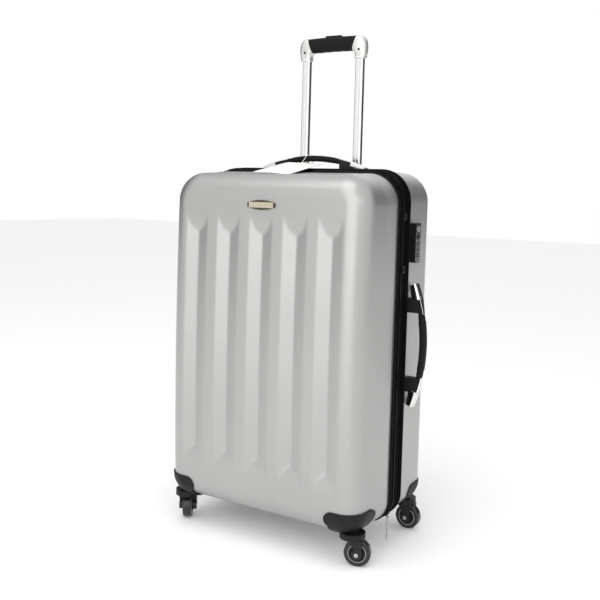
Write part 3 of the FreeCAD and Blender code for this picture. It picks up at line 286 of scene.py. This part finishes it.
# shells
frontShell = {"half": 0.232, "top": 0.747, "bottom": 0.056, "topCorner": 0.062, "bottomCorner": 0.050,
              "rim": -0.0275, "face": -0.152, "crown": 0.0075, "round": 0.042, "draft": 2.5, "thick": 0.0026,
              "side": -1, "ridge": 0.031, "ridgeHalf": 0.004, "ridgeStep": 0.0016}
rearShell = {"half": 0.232, "top": 0.754, "bottom": 0.056, "topCorner": 0.062, "bottomCorner": 0.050,
             "rim": 0.0245, "face": 0.148, "crown": 0.0, "round": 0.040, "draft": 1.4, "thick": 0.0026,
             "side": 1, "ridge": 0.031, "ridgeHalf": 0.004, "ridgeStep": 0.0}
flutes = {"pitch": 0.0785, "half": 0.0268, "depth": 0.0089, "top": 0.659, "bottom": 0.1415, "scoop": 0.034,
          "soft": 0.0016, "count": 5, "keelSoft": 0.0008, "rimSoft": 0.0005, "rimTrim": 0.00002,
          "straight": 0.4, "hollow": 0.6, "beyond": 3}
# shares of the grid that the panel and its rounding take, and the rings where they end
shellCells = {"across": 224, "up": 170, "panelShare": (0.82, 0.76), "roundShare": (0.92, 0.89),
              "panelRing": 0.8, "roundRing": 0.9, "ringStep": 0.1, "leastCorner": 0.004}
panelRing, roundRing, ringStep = (shellCells[key] for key in ("panelRing", "roundRing", "ringStep"))
crownForm = {"middle": 0.405, "half": 0.349}


def softMin(a, b, k):
    h = max(k - abs(a - b), 0.0) / k
    return min(a, b) - h * h * k / 4


def fluteSink(x, z):
    middle = (flutes["count"] - 1) / 2
    index = min(max(round(x / flutes["pitch"]), -middle), middle)
    gap = math.sqrt((x - index * flutes["pitch"]) ** 2 + flutes["keelSoft"] ** 2)
    across = flutes["depth"] * (1 - gap / flutes["half"])
    ends = min(flutes["top"] - z, z - flutes["bottom"]) / flutes["scoop"]
    dip = 1 - math.sqrt(max(1 - min(max(ends, 0.0), 1.0) ** 2, 0.0))  # a hollow end, deepening to a rounded tip
    past = max(ends - 1, 0.0)
    ahead = flutes["depth"] * (flutes["straight"] * ends + flutes["hollow"] * dip + past * flutes["beyond"])
    sink = softMin(across, ahead, flutes["soft"])
    return max((sink + math.sqrt(sink * sink + flutes["rimSoft"] ** 2)) / 2 - flutes["rimTrim"], 0.0)


def ringShare(size, panelShare, roundShare):
    # a grid position from 0 to 1 as the ring that it falls on
    if size <= panelShare:
        return panelRing * size / panelShare
    if size <= roundShare:
        return panelRing + ringStep * (size - panelShare) / (roundShare - panelShare)
    return roundRing + ringStep * (size - roundShare) / (1 - roundShare)


def shellForm(shape, hasFlutes):
    bm = bmesh.new()
    bmesh.ops.create_grid(bm, x_segments=shellCells["across"], y_segments=shellCells["up"], size=1.0)
    draft = math.tan(math.radians(shape["draft"]))
    middle = (shape["top"] + shape["bottom"]) / 2
    high = (shape["top"] - shape["bottom"]) / 2
    reach = abs(shape["face"] - shape["rim"]) - shape["round"]
    panelInset = draft * reach + shape["round"]
    for vert in bm.verts:
        u, v = vert.co.x, vert.co.y
        shares = [ringShare(abs(value), shellCells["panelShare"][i], shellCells["roundShare"][i])
                  for i, value in enumerate((u, v))]
        ring = max(shares)
        back, inset, scale = 0.0, panelInset, 1.0
        if ring >= roundRing:
            back = reach * (1 - ring) / ringStep
            step = ease(back, shape["ridge"] - shape["ridgeHalf"], shape["ridge"] + shape["ridgeHalf"])
            inset = draft * back + shape["ridgeStep"] * step
        elif ring >= panelRing:
            angle = math.radians(90) * (roundRing - ring) / ringStep
            back = reach + shape["round"] * math.sin(angle)
            step = shape["ridgeStep"] * math.cos(angle)
            inset = draft * reach + shape["round"] * (1 - math.cos(angle)) + step
        else:
            back = reach + shape["round"]
            scale = ring / panelRing
        wide, tall = shape["half"] - inset, high - inset
        along = math.copysign(shares[0], u) / ring if ring > 0 else 0.0
        up = math.copysign(shares[1], v) / ring if ring > 0 else 0.0
        x, z = abs(along) * wide, abs(up) * tall
        corner = shape["topCorner"] if v > 0 else shape["bottomCorner"]
        corner = max(corner - inset, shellCells["leastCorner"])
        if x > wide - corner and z > tall - corner:
            out = Vector((x - wide + corner, z - tall + corner))
            out = out.normalized() * corner
            x, z = wide - corner + out.x, tall - corner + out.y
        x = math.copysign(x * scale, u)
        z = middle + math.copysign(z * scale, v)
        bow = 1 - ((z - crownForm["middle"]) / crownForm["half"]) ** 2
        bulge = shape["crown"] * bow * ease(back, 0.0, reach + shape["round"])
        y = shape["rim"] + shape["side"] * (back + bulge)
        if hasFlutes and ring < panelRing:
            y += fluteSink(x, z)
        vert.co = Vector((x, y, z))
    if shape["side"] > 0:
        bmesh.ops.reverse_faces(bm, faces=bm.faces)
    return bm


def addThickness(piece, thick):
    wall = piece.modifiers.new("wall", "SOLIDIFY")
    wall.thickness = thick
    wall.offset = -1.0


frontSkin = keepPiece("front_shell_skin", shellForm(frontShell, True), "silverLacquer", "front_case",
                      ["front_shell"], 60.0)
addThickness(frontSkin, frontShell["thick"])
rearForm = shellForm(rearShell, False)
well = {"lap": 0.002, "above": 0.7}  # the bezel laps the opening; only the roof, above this height, is cut
wellLow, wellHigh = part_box("trolley_bezel")
left, right = wellLow.x + well["lap"], wellHigh.x - well["lap"]
front, rear = wellLow.y + well["lap"], wellHigh.y - well["lap"]
cutPlanes = [((left, 0, 0), (1, 0, 0)), ((right, 0, 0), (1, 0, 0)),
             ((0, front, 0), (0, 1, 0)), ((0, rear, 0), (0, 1, 0))]
for spot, facing in cutPlanes:
    roof = [f for f in rearForm.faces if f.calc_center_median().z > well["above"]]
    edges = {e for f in roof for e in f.edges}
    verts = {v for f in roof for v in f.verts}
    bmesh.ops.bisect_plane(rearForm, geom=roof + list(edges) + list(verts), plane_co=spot, plane_no=facing)
opening = []
for face in rearForm.faces:
    middle = face.calc_center_median()
    if middle.z > well["above"] and left < middle.x < right and front < middle.y < rear:
        opening.append(face)
bmesh.ops.delete(rearForm, geom=opening, context="FACES")
rearSkin = keepPiece("rear_shell_skin", rearForm, "silverLacquer", "rear_case", ["rear_shell"], 60.0)
addThickness(rearSkin, rearShell["thick"])
print("shells made")

# band: piping, ridges and zip coil follow the case's outline
band = {"pipingRadius": 0.0019, "ridgeRadius": 0.0009, "cordStep": 0.02, "arcSteps": 12,
        "coilPitch": 0.0024, "coilTooth": (0.0014, 0.0034, 0.0016), "coilY": -0.0078, "coilStagger": 0.0009,
        "coilPlace": (0.0008, -0.0015),
        "piping": (("front_case", -0.0258, -0.007, 0.0012), ("rear_case", 0.0228, 0.0, 0.0012)),
        "ridges": (("front_case", -0.0205, -0.0045, 0.0008), ("front_case", -0.0168, -0.0035, 0.0006),
                   ("rear_case", -0.0012, 0.0, 0.0006), ("rear_case", 0.0032, 0.0, 0.0002),
                   ("rear_case", 0.0170, 0.0, 0.0002))}


def outlineSpots(grow, drop, step):
    # spots round the case's outline at even steps, with the outward direction at each
    half, top, bottom = rearShell["half"] + grow, rearShell["top"] + drop + grow, rearShell["bottom"] - grow
    high, low = rearShell["topCorner"] + grow, rearShell["bottomCorner"] + grow
    runs = []
    for cx, cz, radius, first in ((half - high, top - high, high, 0), (-half + high, top - high, high, 90),
                                  (-half + low, bottom + low, low, 180), (half - low, bottom + low, low, 270)):
        for i in range(band["arcSteps"] + 1):
            angle = math.radians(first + 90 / band["arcSteps"] * i)
            out = Vector((math.cos(angle), 0, math.sin(angle)))
            runs.append((Vector((cx, 0, cz)) + out * radius, out))
    spots = []
    for (start, out0), (end, out1) in zip(runs, runs[1:] + runs[:1]):
        count = max(1, round((end - start).length / step))
        for i in range(count):
            spots.append((start.lerp(end, i / count), out0.lerp(out1, i / count).normalized()))
    return spots


def edgeCord(name, body, y, drop, grow, radius, finishName, sides=10):
    spots = outlineSpots(grow, drop, band["cordStep"])
    count = len(spots)

    def place(u, turn):
        centre, out = spots[round(u * count) % count]
        angle = 2 * math.pi * turn
        return centre + out * (radius * math.cos(angle)) + Vector((0, y + radius * math.sin(angle), 0))

    keepPiece(name, wrapGrid(count, sides, place), finishName, body, (), 80.0)


for i, (body, y, drop, grow) in enumerate(band["piping"]):
    edgeCord(f"piping_{i}", body, y, drop, grow, band["pipingRadius"], "piping")
for i, (body, y, drop, grow) in enumerate(band["ridges"]):
    edgeCord(f"tape_ridge_{i}", body, y, drop, grow, band["ridgeRadius"], "piping", 6)
coil = bmesh.new()
for i, (spot, out) in enumerate(outlineSpots(*band["coilPlace"], band["coilPitch"])):
    side = band["coilStagger"] if i % 2 else -band["coilStagger"]
    turned = Matrix.Translation(spot + Vector((0, band["coilY"] + side, 0)))
    turned = turned @ out.to_track_quat("Z", "Y").to_matrix().to_4x4()
    bmesh.ops.create_cube(coil, size=1.0, matrix=turned @ Matrix.Diagonal((*band["coilTooth"], 1.0)))
keepPiece("zip_coil", coil, "zipCoil", "rear_case")
print("band trimmed")

# pieces that keep their designed form, merged and smoothed
casters = ("front_left", "front_right", "rear_left", "rear_right")
dressed = {
    "guardPlastic": ("guard", ["front_left_guard", "front_right_guard", "rear_left_guard", "rear_right_guard"]),
    "forkPlastic": ("guard", [f"caster_fork_{p}" for p in casters]),
    "platedSteel": ("steel", [f"caster_axle_{p}" for p in casters]
                    + ["front_kingpins", "rear_kingpins", "outer_tubes", "release_rods", "left_lock_pin",
                       "right_lock_pin", "key_cylinder", "zip_pull"]),
    "satinBlack": ("black_satin", [f"wheel_hub_{p}" for p in casters]
                   + ["trolley_bezel", "trolley_foot", "handle_bases", "strap_buckle", "release_button", "lock_slide",
                      "zip_sliders"]),
    "pianoBlack": ("black_gloss", ["lock_body", "lock_dial_bottom", "lock_dial_middle", "lock_dial_top"]),
    "wheelRubber": ("tyre", [f"wheel_tyre_{p}" for p in casters]),
    "champagne": ("badge", ["badge_plate"]),
    "darkBronze": ("badge_rim", ["badge_frame"]),
    "liningCloth": ("lining", ["front_lining", "rear_lining"]),
    "webbing": ("band", ["cross_straps"]),
    "bandTape": ("band", ["front_binding", "rear_binding", "front_zip_tape", "rear_zip_tape", "expander_gusset"]),
}
bodyOf = {node: body for body, nodes in frame["record"]["behaviour"]["bodies"].items() for node in nodes}
for finishName, (slotName, nodeNames) in dressed.items():
    for nodeName in nodeNames:
        keepPiece("finished_" + nodeName, cadCopy(nodeName), finishName, bodyOf[nodeName], [nodeName],
                  28.0)

# the front lining is cut away round the caster nuts: cloth behind the opening and a cap over each nut
cornerLining = {"inside": 0.0032, "reach": (0.165, -0.085, 0.115), "leaf": 0.0004,
                "cap": 0.0125, "capDrop": 0.005, "capFlat": 0.7}
inner = cornerLining["inside"]
cornerShell = dict(frontShell)
for key in ("half", "top", "round", "topCorner", "bottomCorner"):
    cornerShell[key] -= inner
for key in ("bottom", "face"):
    cornerShell[key] += inner
cornerCloth = shellForm(cornerShell, False)
reachX, reachY, reachZ = cornerLining["reach"]
elsewhere = [face for face in cornerCloth.faces
             if abs(face.calc_center_median().x) < reachX or face.calc_center_median().y > reachY
             or face.calc_center_median().z > reachZ]
bmesh.ops.delete(cornerCloth, geom=elsewhere, context="FACES")
cornerPiece = keepPiece("corner_lining", cornerCloth, "liningCloth", "front_case", (), 60.0)
addThickness(cornerPiece, cornerLining["leaf"])
nutCaps = bmesh.new()
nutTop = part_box("front_kingpins")[1].z
for joint in frame["record"]["behaviour"]["joints"]:
    if joint["name"].startswith("swivel_front"):
        x, y = joint["pos_m"][:2]
        bmesh.ops.create_uvsphere(nutCaps, u_segments=32, v_segments=16, radius=cornerLining["cap"],
                                  matrix=Matrix.Translation((x, y, nutTop - cornerLining["capDrop"]))
                                  @ Matrix.Diagonal((1, 1, cornerLining["capFlat"], 1)))
keepPiece("nut_caps", nutCaps, "satinBlack", "front_case")
print("designed pieces finished")

hinge = keepPiece("hinge_cloth", cadCopy("hinge_tape"), "bandTape", "", ["hinge_tape"])
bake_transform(hinge)

# trolley: grooved tubes and the soft grip
tubes = {"spacing": 0.066, "y": 0.109, "wide": 0.018, "deep": 0.013, "low": 0.660, "high": 1.0065,
         "corner": 0.003, "grooves": (-0.0064, 0.0, 0.0064), "grooveWide": 0.0009, "grooveDeep": 0.0007}
tubeForm = bmesh.new()
for side in (-1, 1):
    one = bmesh.new()
    middle = Vector((side * tubes["spacing"], tubes["y"], (tubes["low"] + tubes["high"]) / 2))
    bmesh.ops.create_cube(one, size=1.0, matrix=Matrix.Translation(middle) @ Matrix.Diagonal(
        (tubes["wide"], tubes["deep"], tubes["high"] - tubes["low"], 1.0)))
    standing = [e for e in one.edges if abs(e.verts[0].co.z - e.verts[1].co.z) > 0.1]
    bmesh.ops.bevel(one, geom=standing, offset=tubes["corner"], segments=4, profile=0.5, affect="EDGES",
                    material=-1)
    for groove in tubes["grooves"]:
        for edgeSide in (-0.5, 0.5):
            cutX = middle.x + groove + edgeSide * tubes["grooveWide"]
            bmesh.ops.bisect_plane(one, geom=one.verts[:] + one.edges[:] + one.faces[:],
                                   plane_co=(cutX, 0, 0), plane_no=(1, 0, 0))
        strips = [f for f in one.faces if abs(f.normal.y) > 0.99
                  and abs(f.calc_center_median().x - middle.x - groove) < tubes["grooveWide"] / 2]
        for strip in strips:
            inward = -strip.normal * tubes["grooveDeep"]
            raised = bmesh.ops.extrude_face_region(one, geom=[strip])["geom"]
            bmesh.ops.translate(one, vec=inward, verts=[v for v in raised if isinstance(v, bmesh.types.BMVert)])
            bmesh.ops.delete(one, geom=[strip], context="FACES_ONLY")
    pourInto(tubeForm, one)
keepPiece("grooved_tubes", tubeForm, "polishedTube", "trolley", ["inner_tubes"], 30.0)

grip = {"top": 1.0435, "bottom": 1.012, "halfTop": 0.0608, "halfBottom": 0.0498, "deep": 0.0125,
        "squareness": 2.9, "bumps": 0.00025, "bumpGain": 60, "bumpPitch": 0.0105, "bow": 0.0012,
        "endShrink": 0.05, "endLength": 0.004}


def gripPlace(u, turn):
    y, z = roundedRect(turn, grip["deep"], (grip["top"] - grip["bottom"]) / 2, grip["squareness"])
    rise = z / (grip["top"] - grip["bottom"]) + 0.5
    half = grip["halfBottom"] + (grip["halfTop"] - grip["halfBottom"]) * rise
    x = (2 * u - 1) * half
    lift = grip["bumps"] * math.cos(x / grip["bumpPitch"] * math.pi) if z < 0 else 0.0
    shrink = 1 - grip["endShrink"] * ease(abs(x), half - grip["endLength"], half)
    bow = -grip["bow"] * (x / grip["halfTop"]) ** 2
    height = (grip["top"] + grip["bottom"]) / 2 + z * shrink + lift * abs(z) * grip["bumpGain"] + bow
    return Vector((x, tubes["y"] + y * shrink, height))


keepPiece("soft_trolley_grip", wrapGrid(90, 40, gripPlace), "softGrip", "trolley", ["trolley_grip"])
elbow = {"outer": ((0.0772, 0.9945), (0.0835, 1.006), (0.0872, 1.046), (0.0605, 1.0430)),
         "inner": ((0.0548, 0.9945), (0.0553, 1.0035), (0.0550, 1.0085), (0.0497, 1.0112)),
         "deepLow": 0.0096, "deepHigh": 0.0127, "collar": 0.09, "squareness": (4.2, 3.0),
         "screw": {"radius": (0.0028, 0.0024), "proud": 0.0008, "out": 0.0008, "y": 0.0978, "z": 1.0125}}


def onCurve(knots, t):
    weights = ((1 - t) ** 3, 3 * t * (1 - t) ** 2, 3 * t * t * (1 - t), t ** 3)
    return Vector([sum(w * k[i] for w, k in zip(weights, knots)) for i in (0, 1)])


def elbowPlace(side):
    def place(u, turn):
        outer, inner = onCurve(elbow["outer"], u), onCurve(elbow["inner"], u)
        deep = elbow["deepLow"] + (elbow["deepHigh"] - elbow["deepLow"]) * ease(u, 0.15, 0.8)
        swell = 1 + elbow["collar"] * (1 - ease(u, 0.02, 0.1))
        low, high = elbow["squareness"]
        across, y = roundedRect(turn, 0.5 * swell, deep * swell, low + (high - low) * u)
        spot = (outer + inner) / 2 + (outer - inner) * across
        return Vector((side * spot.x, tubes["y"] + y, spot.y))
    return place


castings = bmesh.new()
for side in (-1, 1):
    pourInto(castings, wrapGrid(44, 48, elbowPlace(side)))
keepPiece("cast_elbows", castings, "castElbow", "trolley", ["trolley_elbows"], 50.0)
screws = bmesh.new()
screw = elbow["screw"]
for side in (-1, 1):
    facing = Matrix.Rotation(math.radians(90), 4, "X")
    spot = (side * (tubes["spacing"] + screw["out"]), screw["y"], screw["z"])
    bmesh.ops.create_cone(screws, cap_ends=True, segments=20, radius1=screw["radius"][0],
                          radius2=screw["radius"][1], depth=screw["proud"],
                          matrix=Matrix.Translation(spot) @ facing)
keepPiece("elbow_screws", screws, "satinBlack", "trolley")
print("trolley made")

# carry handles: sections swept round each handle's arc
# top and side give each handle's rise at the middle and at its ends
# tongue, strap and cap have a width and drops below the arc at both ends
handle = {"half": 0.124, "top": (0.0305, 0.005), "side": (0.0385, 0.015), "y": 0.040, "grip": 0.064,
          "wide": 0.0195, "thick": 0.0125, "squareness": 3.0, "capBlock": 0.030, "sideHeight": 0.407,
          "necks": ((0.10, 0.049, 0.0515), (0.14, 0.0605, 0.064)),
          "tongueStart": 0.058, "tongueLap": 0.001, "tongueWide": (0.0165, 0.0172),
          "tongueDrops": ((0.0014, 0.0108), (0.0010, 0.0098)), "strapGap": 0.0004, "strapLap": 0.004,
          "strapWide": (0.0085, 0.0180), "strapDrops": ((-0.0002, 0.0020), (-0.0010, 0.0014)),
          "capWide": (0.0215, 0.0205), "capRise": (-0.0012, -0.0008), "capFoot": {"top": 0.0065, "side": 0.0150},
          "capTaper": 0.004, "capPast": 0.0005}
handleFrames = {
    "top": Matrix.Translation((0, handle["y"], rearShell["top"])),
    "side": (Matrix.Translation((rearShell["half"], handle["y"], handle["sideHeight"]))
             @ Matrix.Rotation(math.radians(90), 4, "Y")),
}


def onArc(which, s, across, drop):
    # s along the handle, across it, and drop below its outer curve
    rise, end = handle[which]
    radius = (handle["half"] ** 2 + (rise - end) ** 2) / (2 * (rise - end))
    angle = math.asin(s / radius)
    out = (radius - drop) * math.cos(angle) - radius + rise
    return Vector(((radius - drop) * math.sin(angle), across, out))


def gripArc(which):
    def place(u, turn):
        s = (2 * u - 1) * handle["grip"]
        swell = 1 - sum(share * ease(abs(s), low, high) for share, low, high in handle["necks"])
        across, out = roundedRect(turn, handle["wide"] / 2 * swell, handle["thick"] / 2 * swell,
                                  handle["squareness"])
        return onArc(which, s, across, handle["thick"] / 2 - out)
    return place


def strapArc(which, low, high, wide, drops, squareness):
    # wide and drops give the values at the low and at the high end
    def place(u, turn):
        drop0, drop1 = (drops[0][i] + (drops[1][i] - drops[0][i]) * u for i in (0, 1))
        breadth = wide[0] + (wide[1] - wide[0]) * u
        across, out = roundedRect(turn, breadth / 2, (drop1 - drop0) / 2, squareness)
        return onArc(which, low + (high - low) * u, across, (drop0 + drop1) / 2 - out)
    return place


def addSweep(target, along, around, place, frameMatrix):
    one = wrapGrid(along, around, place)
    one.transform(frameMatrix)
    bmesh.ops.recalc_face_normals(one, faces=one.faces)
    pourInto(target, one)


caps = bmesh.new()
mirrored = Matrix.Diagonal((-1, 1, 1, 1))
block = handle["half"] - handle["capBlock"]
for which, frameMatrix in handleFrames.items():
    foot = handle["capFoot"][which]
    capDrops = ((handle["capRise"][0], foot + handle["capTaper"]), (handle["capRise"][1], foot))
    tongue = strapArc(which, handle["tongueStart"], block + handle["tongueLap"], handle["tongueWide"],
                      handle["tongueDrops"], 4.0)
    strap = strapArc(which, handle["grip"] + handle["strapGap"], block + handle["strapLap"], handle["strapWide"],
                     handle["strapDrops"], 6.0)
    cap = strapArc(which, block, handle["half"] + handle["capPast"], handle["capWide"], capDrops, 6.0)
    soft = bmesh.new()
    addSweep(soft, 70, 28, gripArc(which), frameMatrix)
    for turned in (frameMatrix, frameMatrix @ mirrored):
        addSweep(soft, 20, 20, tongue, turned)
        addSweep(caps, 24, 20, strap, turned)
        addSweep(caps, 20, 32, cap, turned)
    nodeName = which + "_handle_grip"
    keepPiece(nodeName + "_soft", soft, "softGrip", which + "_handle", [nodeName], 40.0)
keepPiece("chrome_caps", caps, "chromePlate", "rear_case", ["handle_caps"], 35.0)
print("handles made")

# wheels: pale ring between hub and tyre, on both faces
wheel = {"radius": 0.0172, "bead": 0.0007, "half": 0.0089}
for joint in frame["record"]["behaviour"]["joints"]:
    if not joint["name"].startswith("roll_"):
        continue
    place = joint["name"][5:]
    centre, axle = Vector(joint["pos_m"]), Vector(joint["axis"])
    rings = bmesh.new()
    for sign in (-1, 1):
        upright = Matrix.Translation((wheel["radius"], 0, 0)) @ Matrix.Rotation(math.radians(90), 4, "X")
        bead = bmesh.ops.create_circle(rings, segments=8, radius=wheel["bead"], cap_ends=False,
                                       matrix=upright)["verts"]
        edges = list({e for v in bead for e in v.link_edges})
        bmesh.ops.spin(rings, geom=bead + edges, cent=(0, 0, 0), axis=(0, 0, 1), angle=2 * math.pi, steps=48,
                       use_merge=True)
        fresh = [v for v in rings.verts if not v.tag]
        turn = axle.to_track_quat("Z", "Y").to_matrix().to_4x4()
        face = Matrix.Translation(centre + axle * sign * wheel["half"])
        bmesh.ops.transform(rings, verts=fresh, matrix=face @ turn)
        for vert in rings.verts:
            vert.tag = True
    bmesh.ops.remove_doubles(rings, verts=rings.verts, dist=merge["ring"])
    keepPiece("wheel_rings_" + place, rings, "paleRing", "wheel_" + place, (), 60.0, True)
print("wheels dressed")

# swing tag and its string
tag = {"half": (0.0415, 0.066), "tilt": (9.6, 3.0), "spot": (-0.012, -0.045, 0.7556), "lift": 0.0006,
       "leaf": 0.0007, "wave": 0.0012, "waveRate": 21, "waveStart": 0.4, "curl": 0.0010,
       "foldHeight": 0.774, "foldKeep": 0.12}
card = bmesh.new()
bmesh.ops.create_grid(card, x_segments=24, y_segments=40, size=1.0)
tiltX, tiltY = (math.radians(tilt) for tilt in tag["tilt"])
tagTilt = Matrix.Rotation(tiltX, 4, "X") @ Matrix.Rotation(tiltY, 4, "Y")
for vert in card.verts:
    across, along = vert.co.x, vert.co.y * tag["half"][1]
    bow = tag["wave"] * math.sin(along * tag["waveRate"] + tag["waveStart"]) - tag["curl"] * across ** 2
    vert.co = Vector((across * tag["half"][0], along, bow + tag["lift"]))
card.transform(Matrix.Translation(tag["spot"]) @ tagTilt)
cardPiece = keepPiece("hanging_card", card, "coatedCard", "top_handle", ["swing_tag"])
leaf = cardPiece.modifiers.new("leaf", "SOLIDIFY")
leaf.thickness = tag["leaf"]
bpy.context.view_layer.update()
flattened = bpy.data.meshes.new_from_object(cardPiece.evaluated_get(bpy.context.evaluated_depsgraph_get()))
cardPiece.modifiers.clear()
cardPiece.data = flattened
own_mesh(cardPiece)

stringThick = 0.0012
# the same points as the solid's, in millimetres
stringRoute = [(-13.2, 11, 765.9), (-13.8, 13.2, 769.8), (-14, 19.5, 774), (-13.6, 25.5, 779),
               (-12.5, 30.5, 785.2), (-10.5, 38.5, 787), (-9.5, 47.5, 786), (-9.5, 52.6, 780.5),
               (-9.5, 53, 773.5), (-10, 48.5, 768.4), (-11, 40.5, 767.2), (-12.3, 32, 767.4),
               (-12.6, 24, 768.8), (-12, 17.5, 769.3), (-11.1, 11.9, 765.9)]
stringCurve = bpy.data.curves.new("tag_loop", "CURVE")
stringCurve.dimensions = "3D"
stringLine = stringCurve.splines.new("NURBS")
stringLine.points.add(len(stringRoute) - 1)
for point, spot in zip(stringLine.points, stringRoute):
    point.co = (*(value / 1000 for value in spot), 1.0)
stringLine.order_u = 3
stringLine.use_endpoint_u = True
stringLine.resolution_u = 12
stringCurve.bevel_depth = stringThick / 2
stringCurve.bevel_resolution = 3
stringCurve.use_fill_caps = True
stringPiece = bpy.data.objects.new("tag_loop", stringCurve)
bpy.context.scene.collection.objects.link(stringPiece)
stringCurve.materials.append(finish["cardString"])
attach(stringPiece, "top_handle")
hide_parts("tag_string")
lineCurve = stringCurve.copy()
lineCurve.bevel_depth = 0.0
lineObject = bpy.data.objects.new("measure", lineCurve)
lineMesh = bpy.data.meshes.new_from_object(lineObject)
bpy.data.objects.remove(lineObject)

# floor, light and camera
floorForm = bmesh.new()
bmesh.ops.create_grid(floorForm, x_segments=1, y_segments=1, size=12.0)
floorMesh = bpy.data.meshes.new("studio_floor")
floorForm.to_mesh(floorMesh)
floorForm.free()
floorLook = bpy.data.materials.new("studioPaper")
floorLook.use_nodes = True
paperShader = floorLook.node_tree.nodes["Principled BSDF"]
paperShader.inputs["Base Color"].default_value = (0.93, 0.93, 0.93, 1.0)
paperShader.inputs["Roughness"].default_value = 0.9
paperShader.inputs["Emission Color"].default_value = (1.0, 1.0, 1.0, 1.0)
paperShader.inputs["Emission Strength"].default_value = 0.10
floorMesh.materials.append(floorLook)
floor = bpy.data.objects.new("studio_floor", floorMesh)
bpy.context.scene.collection.objects.link(floor)

# the surround is white, with three broad dark flags that shade the flutes, the lock side and the underside
world = bpy.context.scene.world or bpy.data.worlds.new("studio")
bpy.context.scene.world = world
world.use_nodes = True
flags = {"leftFlag": {"towards": (-0.966, 0.259, 0.0), "edge": (0.60, 0.87), "dim": 0.05},
         "rearFlag": {"towards": (0.42, 0.907, 0.0), "edge": (0.70, 0.95), "dim": 0.05},
         "lowFlag": {"towards": (0.0, -0.35, -0.94), "edge": (0.2, 0.9), "dim": 0.55}}
skyNodes, skyLinks = world.node_tree.nodes, world.node_tree.links
direction = skyNodes.new("ShaderNodeTexCoord").outputs["Generated"]
brightness = None
for flag in flags.values():
    facing = skyNodes.new("ShaderNodeVectorMath")
    facing.operation = "DOT_PRODUCT"
    facing.inputs[1].default_value = Vector(flag["towards"]).normalized()
    skyLinks.new(direction, facing.inputs[0])
    shade = skyNodes.new("ShaderNodeMapRange")
    shade.interpolation_type = "SMOOTHSTEP"
    shade.inputs["From Min"].default_value, shade.inputs["From Max"].default_value = flag["edge"]
    shade.inputs["To Min"].default_value, shade.inputs["To Max"].default_value = 1.0, flag["dim"]
    skyLinks.new(facing.outputs["Value"], shade.inputs["Value"])
    if brightness is None:
        brightness = shade.outputs["Result"]
    else:
        both = skyNodes.new("ShaderNodeMath")
        both.operation = "MULTIPLY"
        skyLinks.new(brightness, both.inputs[0])
        skyLinks.new(shade.outputs["Result"], both.inputs[1])
        brightness = both.outputs["Value"]
seen = skyNodes.new("ShaderNodeLightPath").outputs["Is Camera Ray"]  # the backdrop itself stays white
paper = skyNodes.new("ShaderNodeMath")
paper.operation = "MAXIMUM"
skyLinks.new(brightness, paper.inputs[0])
skyLinks.new(seen, paper.inputs[1])
skyLinks.new(paper.outputs["Value"], skyNodes["Background"].inputs["Strength"])
skyNodes["Background"].inputs["Color"].default_value = (1.0, 1.0, 1.0, 1.0)
bpy.context.scene.view_settings.view_transform = "Standard"
lamps = {
    "frontLamp": {"spot": (0.5, -2.5, 1.3), "size": 2.8, "power": 27.0},
    "rightLamp": {"spot": (2.4, -1.4, 1.4), "size": 1.0, "power": 2.5},
    "topLamp": {"spot": (-0.2, -0.9, 2.7), "size": 1.8, "power": 16.0},
}
for name, lamp in lamps.items():
    light = bpy.data.lights.new(name, "AREA")
    light.size = lamp["size"]
    light.energy = lamp["power"]
    lampObject = bpy.data.objects.new(name, light)
    bpy.context.scene.collection.objects.link(lampObject)
    lampObject.location = lamp["spot"]
    towards = Vector((0, 0, 0.45)) - Vector(lamp["spot"])  # at the middle of the case
    lampObject.rotation_euler = towards.to_track_quat("-Z", "Y").to_euler()

viewpoint = {"spot": (0.94403, -1.54121, 0.71193), "yaw": 31.97, "pitch": 4.02, "roll": 1.52, "lens": 51.74,
             "shift": (0.0086, -0.0834)}
yaw, pitch, roll = (math.radians(viewpoint[key]) for key in ("yaw", "pitch", "roll"))
ahead = Vector((-math.sin(yaw) * math.cos(pitch), math.cos(yaw) * math.cos(pitch), -math.sin(pitch)))
level = Vector((math.cos(yaw), math.sin(yaw), 0))
upward = level.cross(ahead)
right = math.cos(roll) * level + math.sin(roll) * upward
above = -math.sin(roll) * level + math.cos(roll) * upward
cameraData = bpy.data.cameras.new("studioCamera")
cameraData.sensor_width = 36.0
cameraData.lens = viewpoint["lens"]
cameraData.shift_x, cameraData.shift_y = viewpoint["shift"]
cameraObject = bpy.data.objects.new("studioCamera", cameraData)
bpy.context.scene.collection.objects.link(cameraObject)
facingCase = Matrix((right, above, -ahead)).transposed().to_4x4()
cameraObject.matrix_world = Matrix.Translation(viewpoint["spot"]) @ facingCase
bpy.context.scene.camera = cameraObject
print("studio ready")
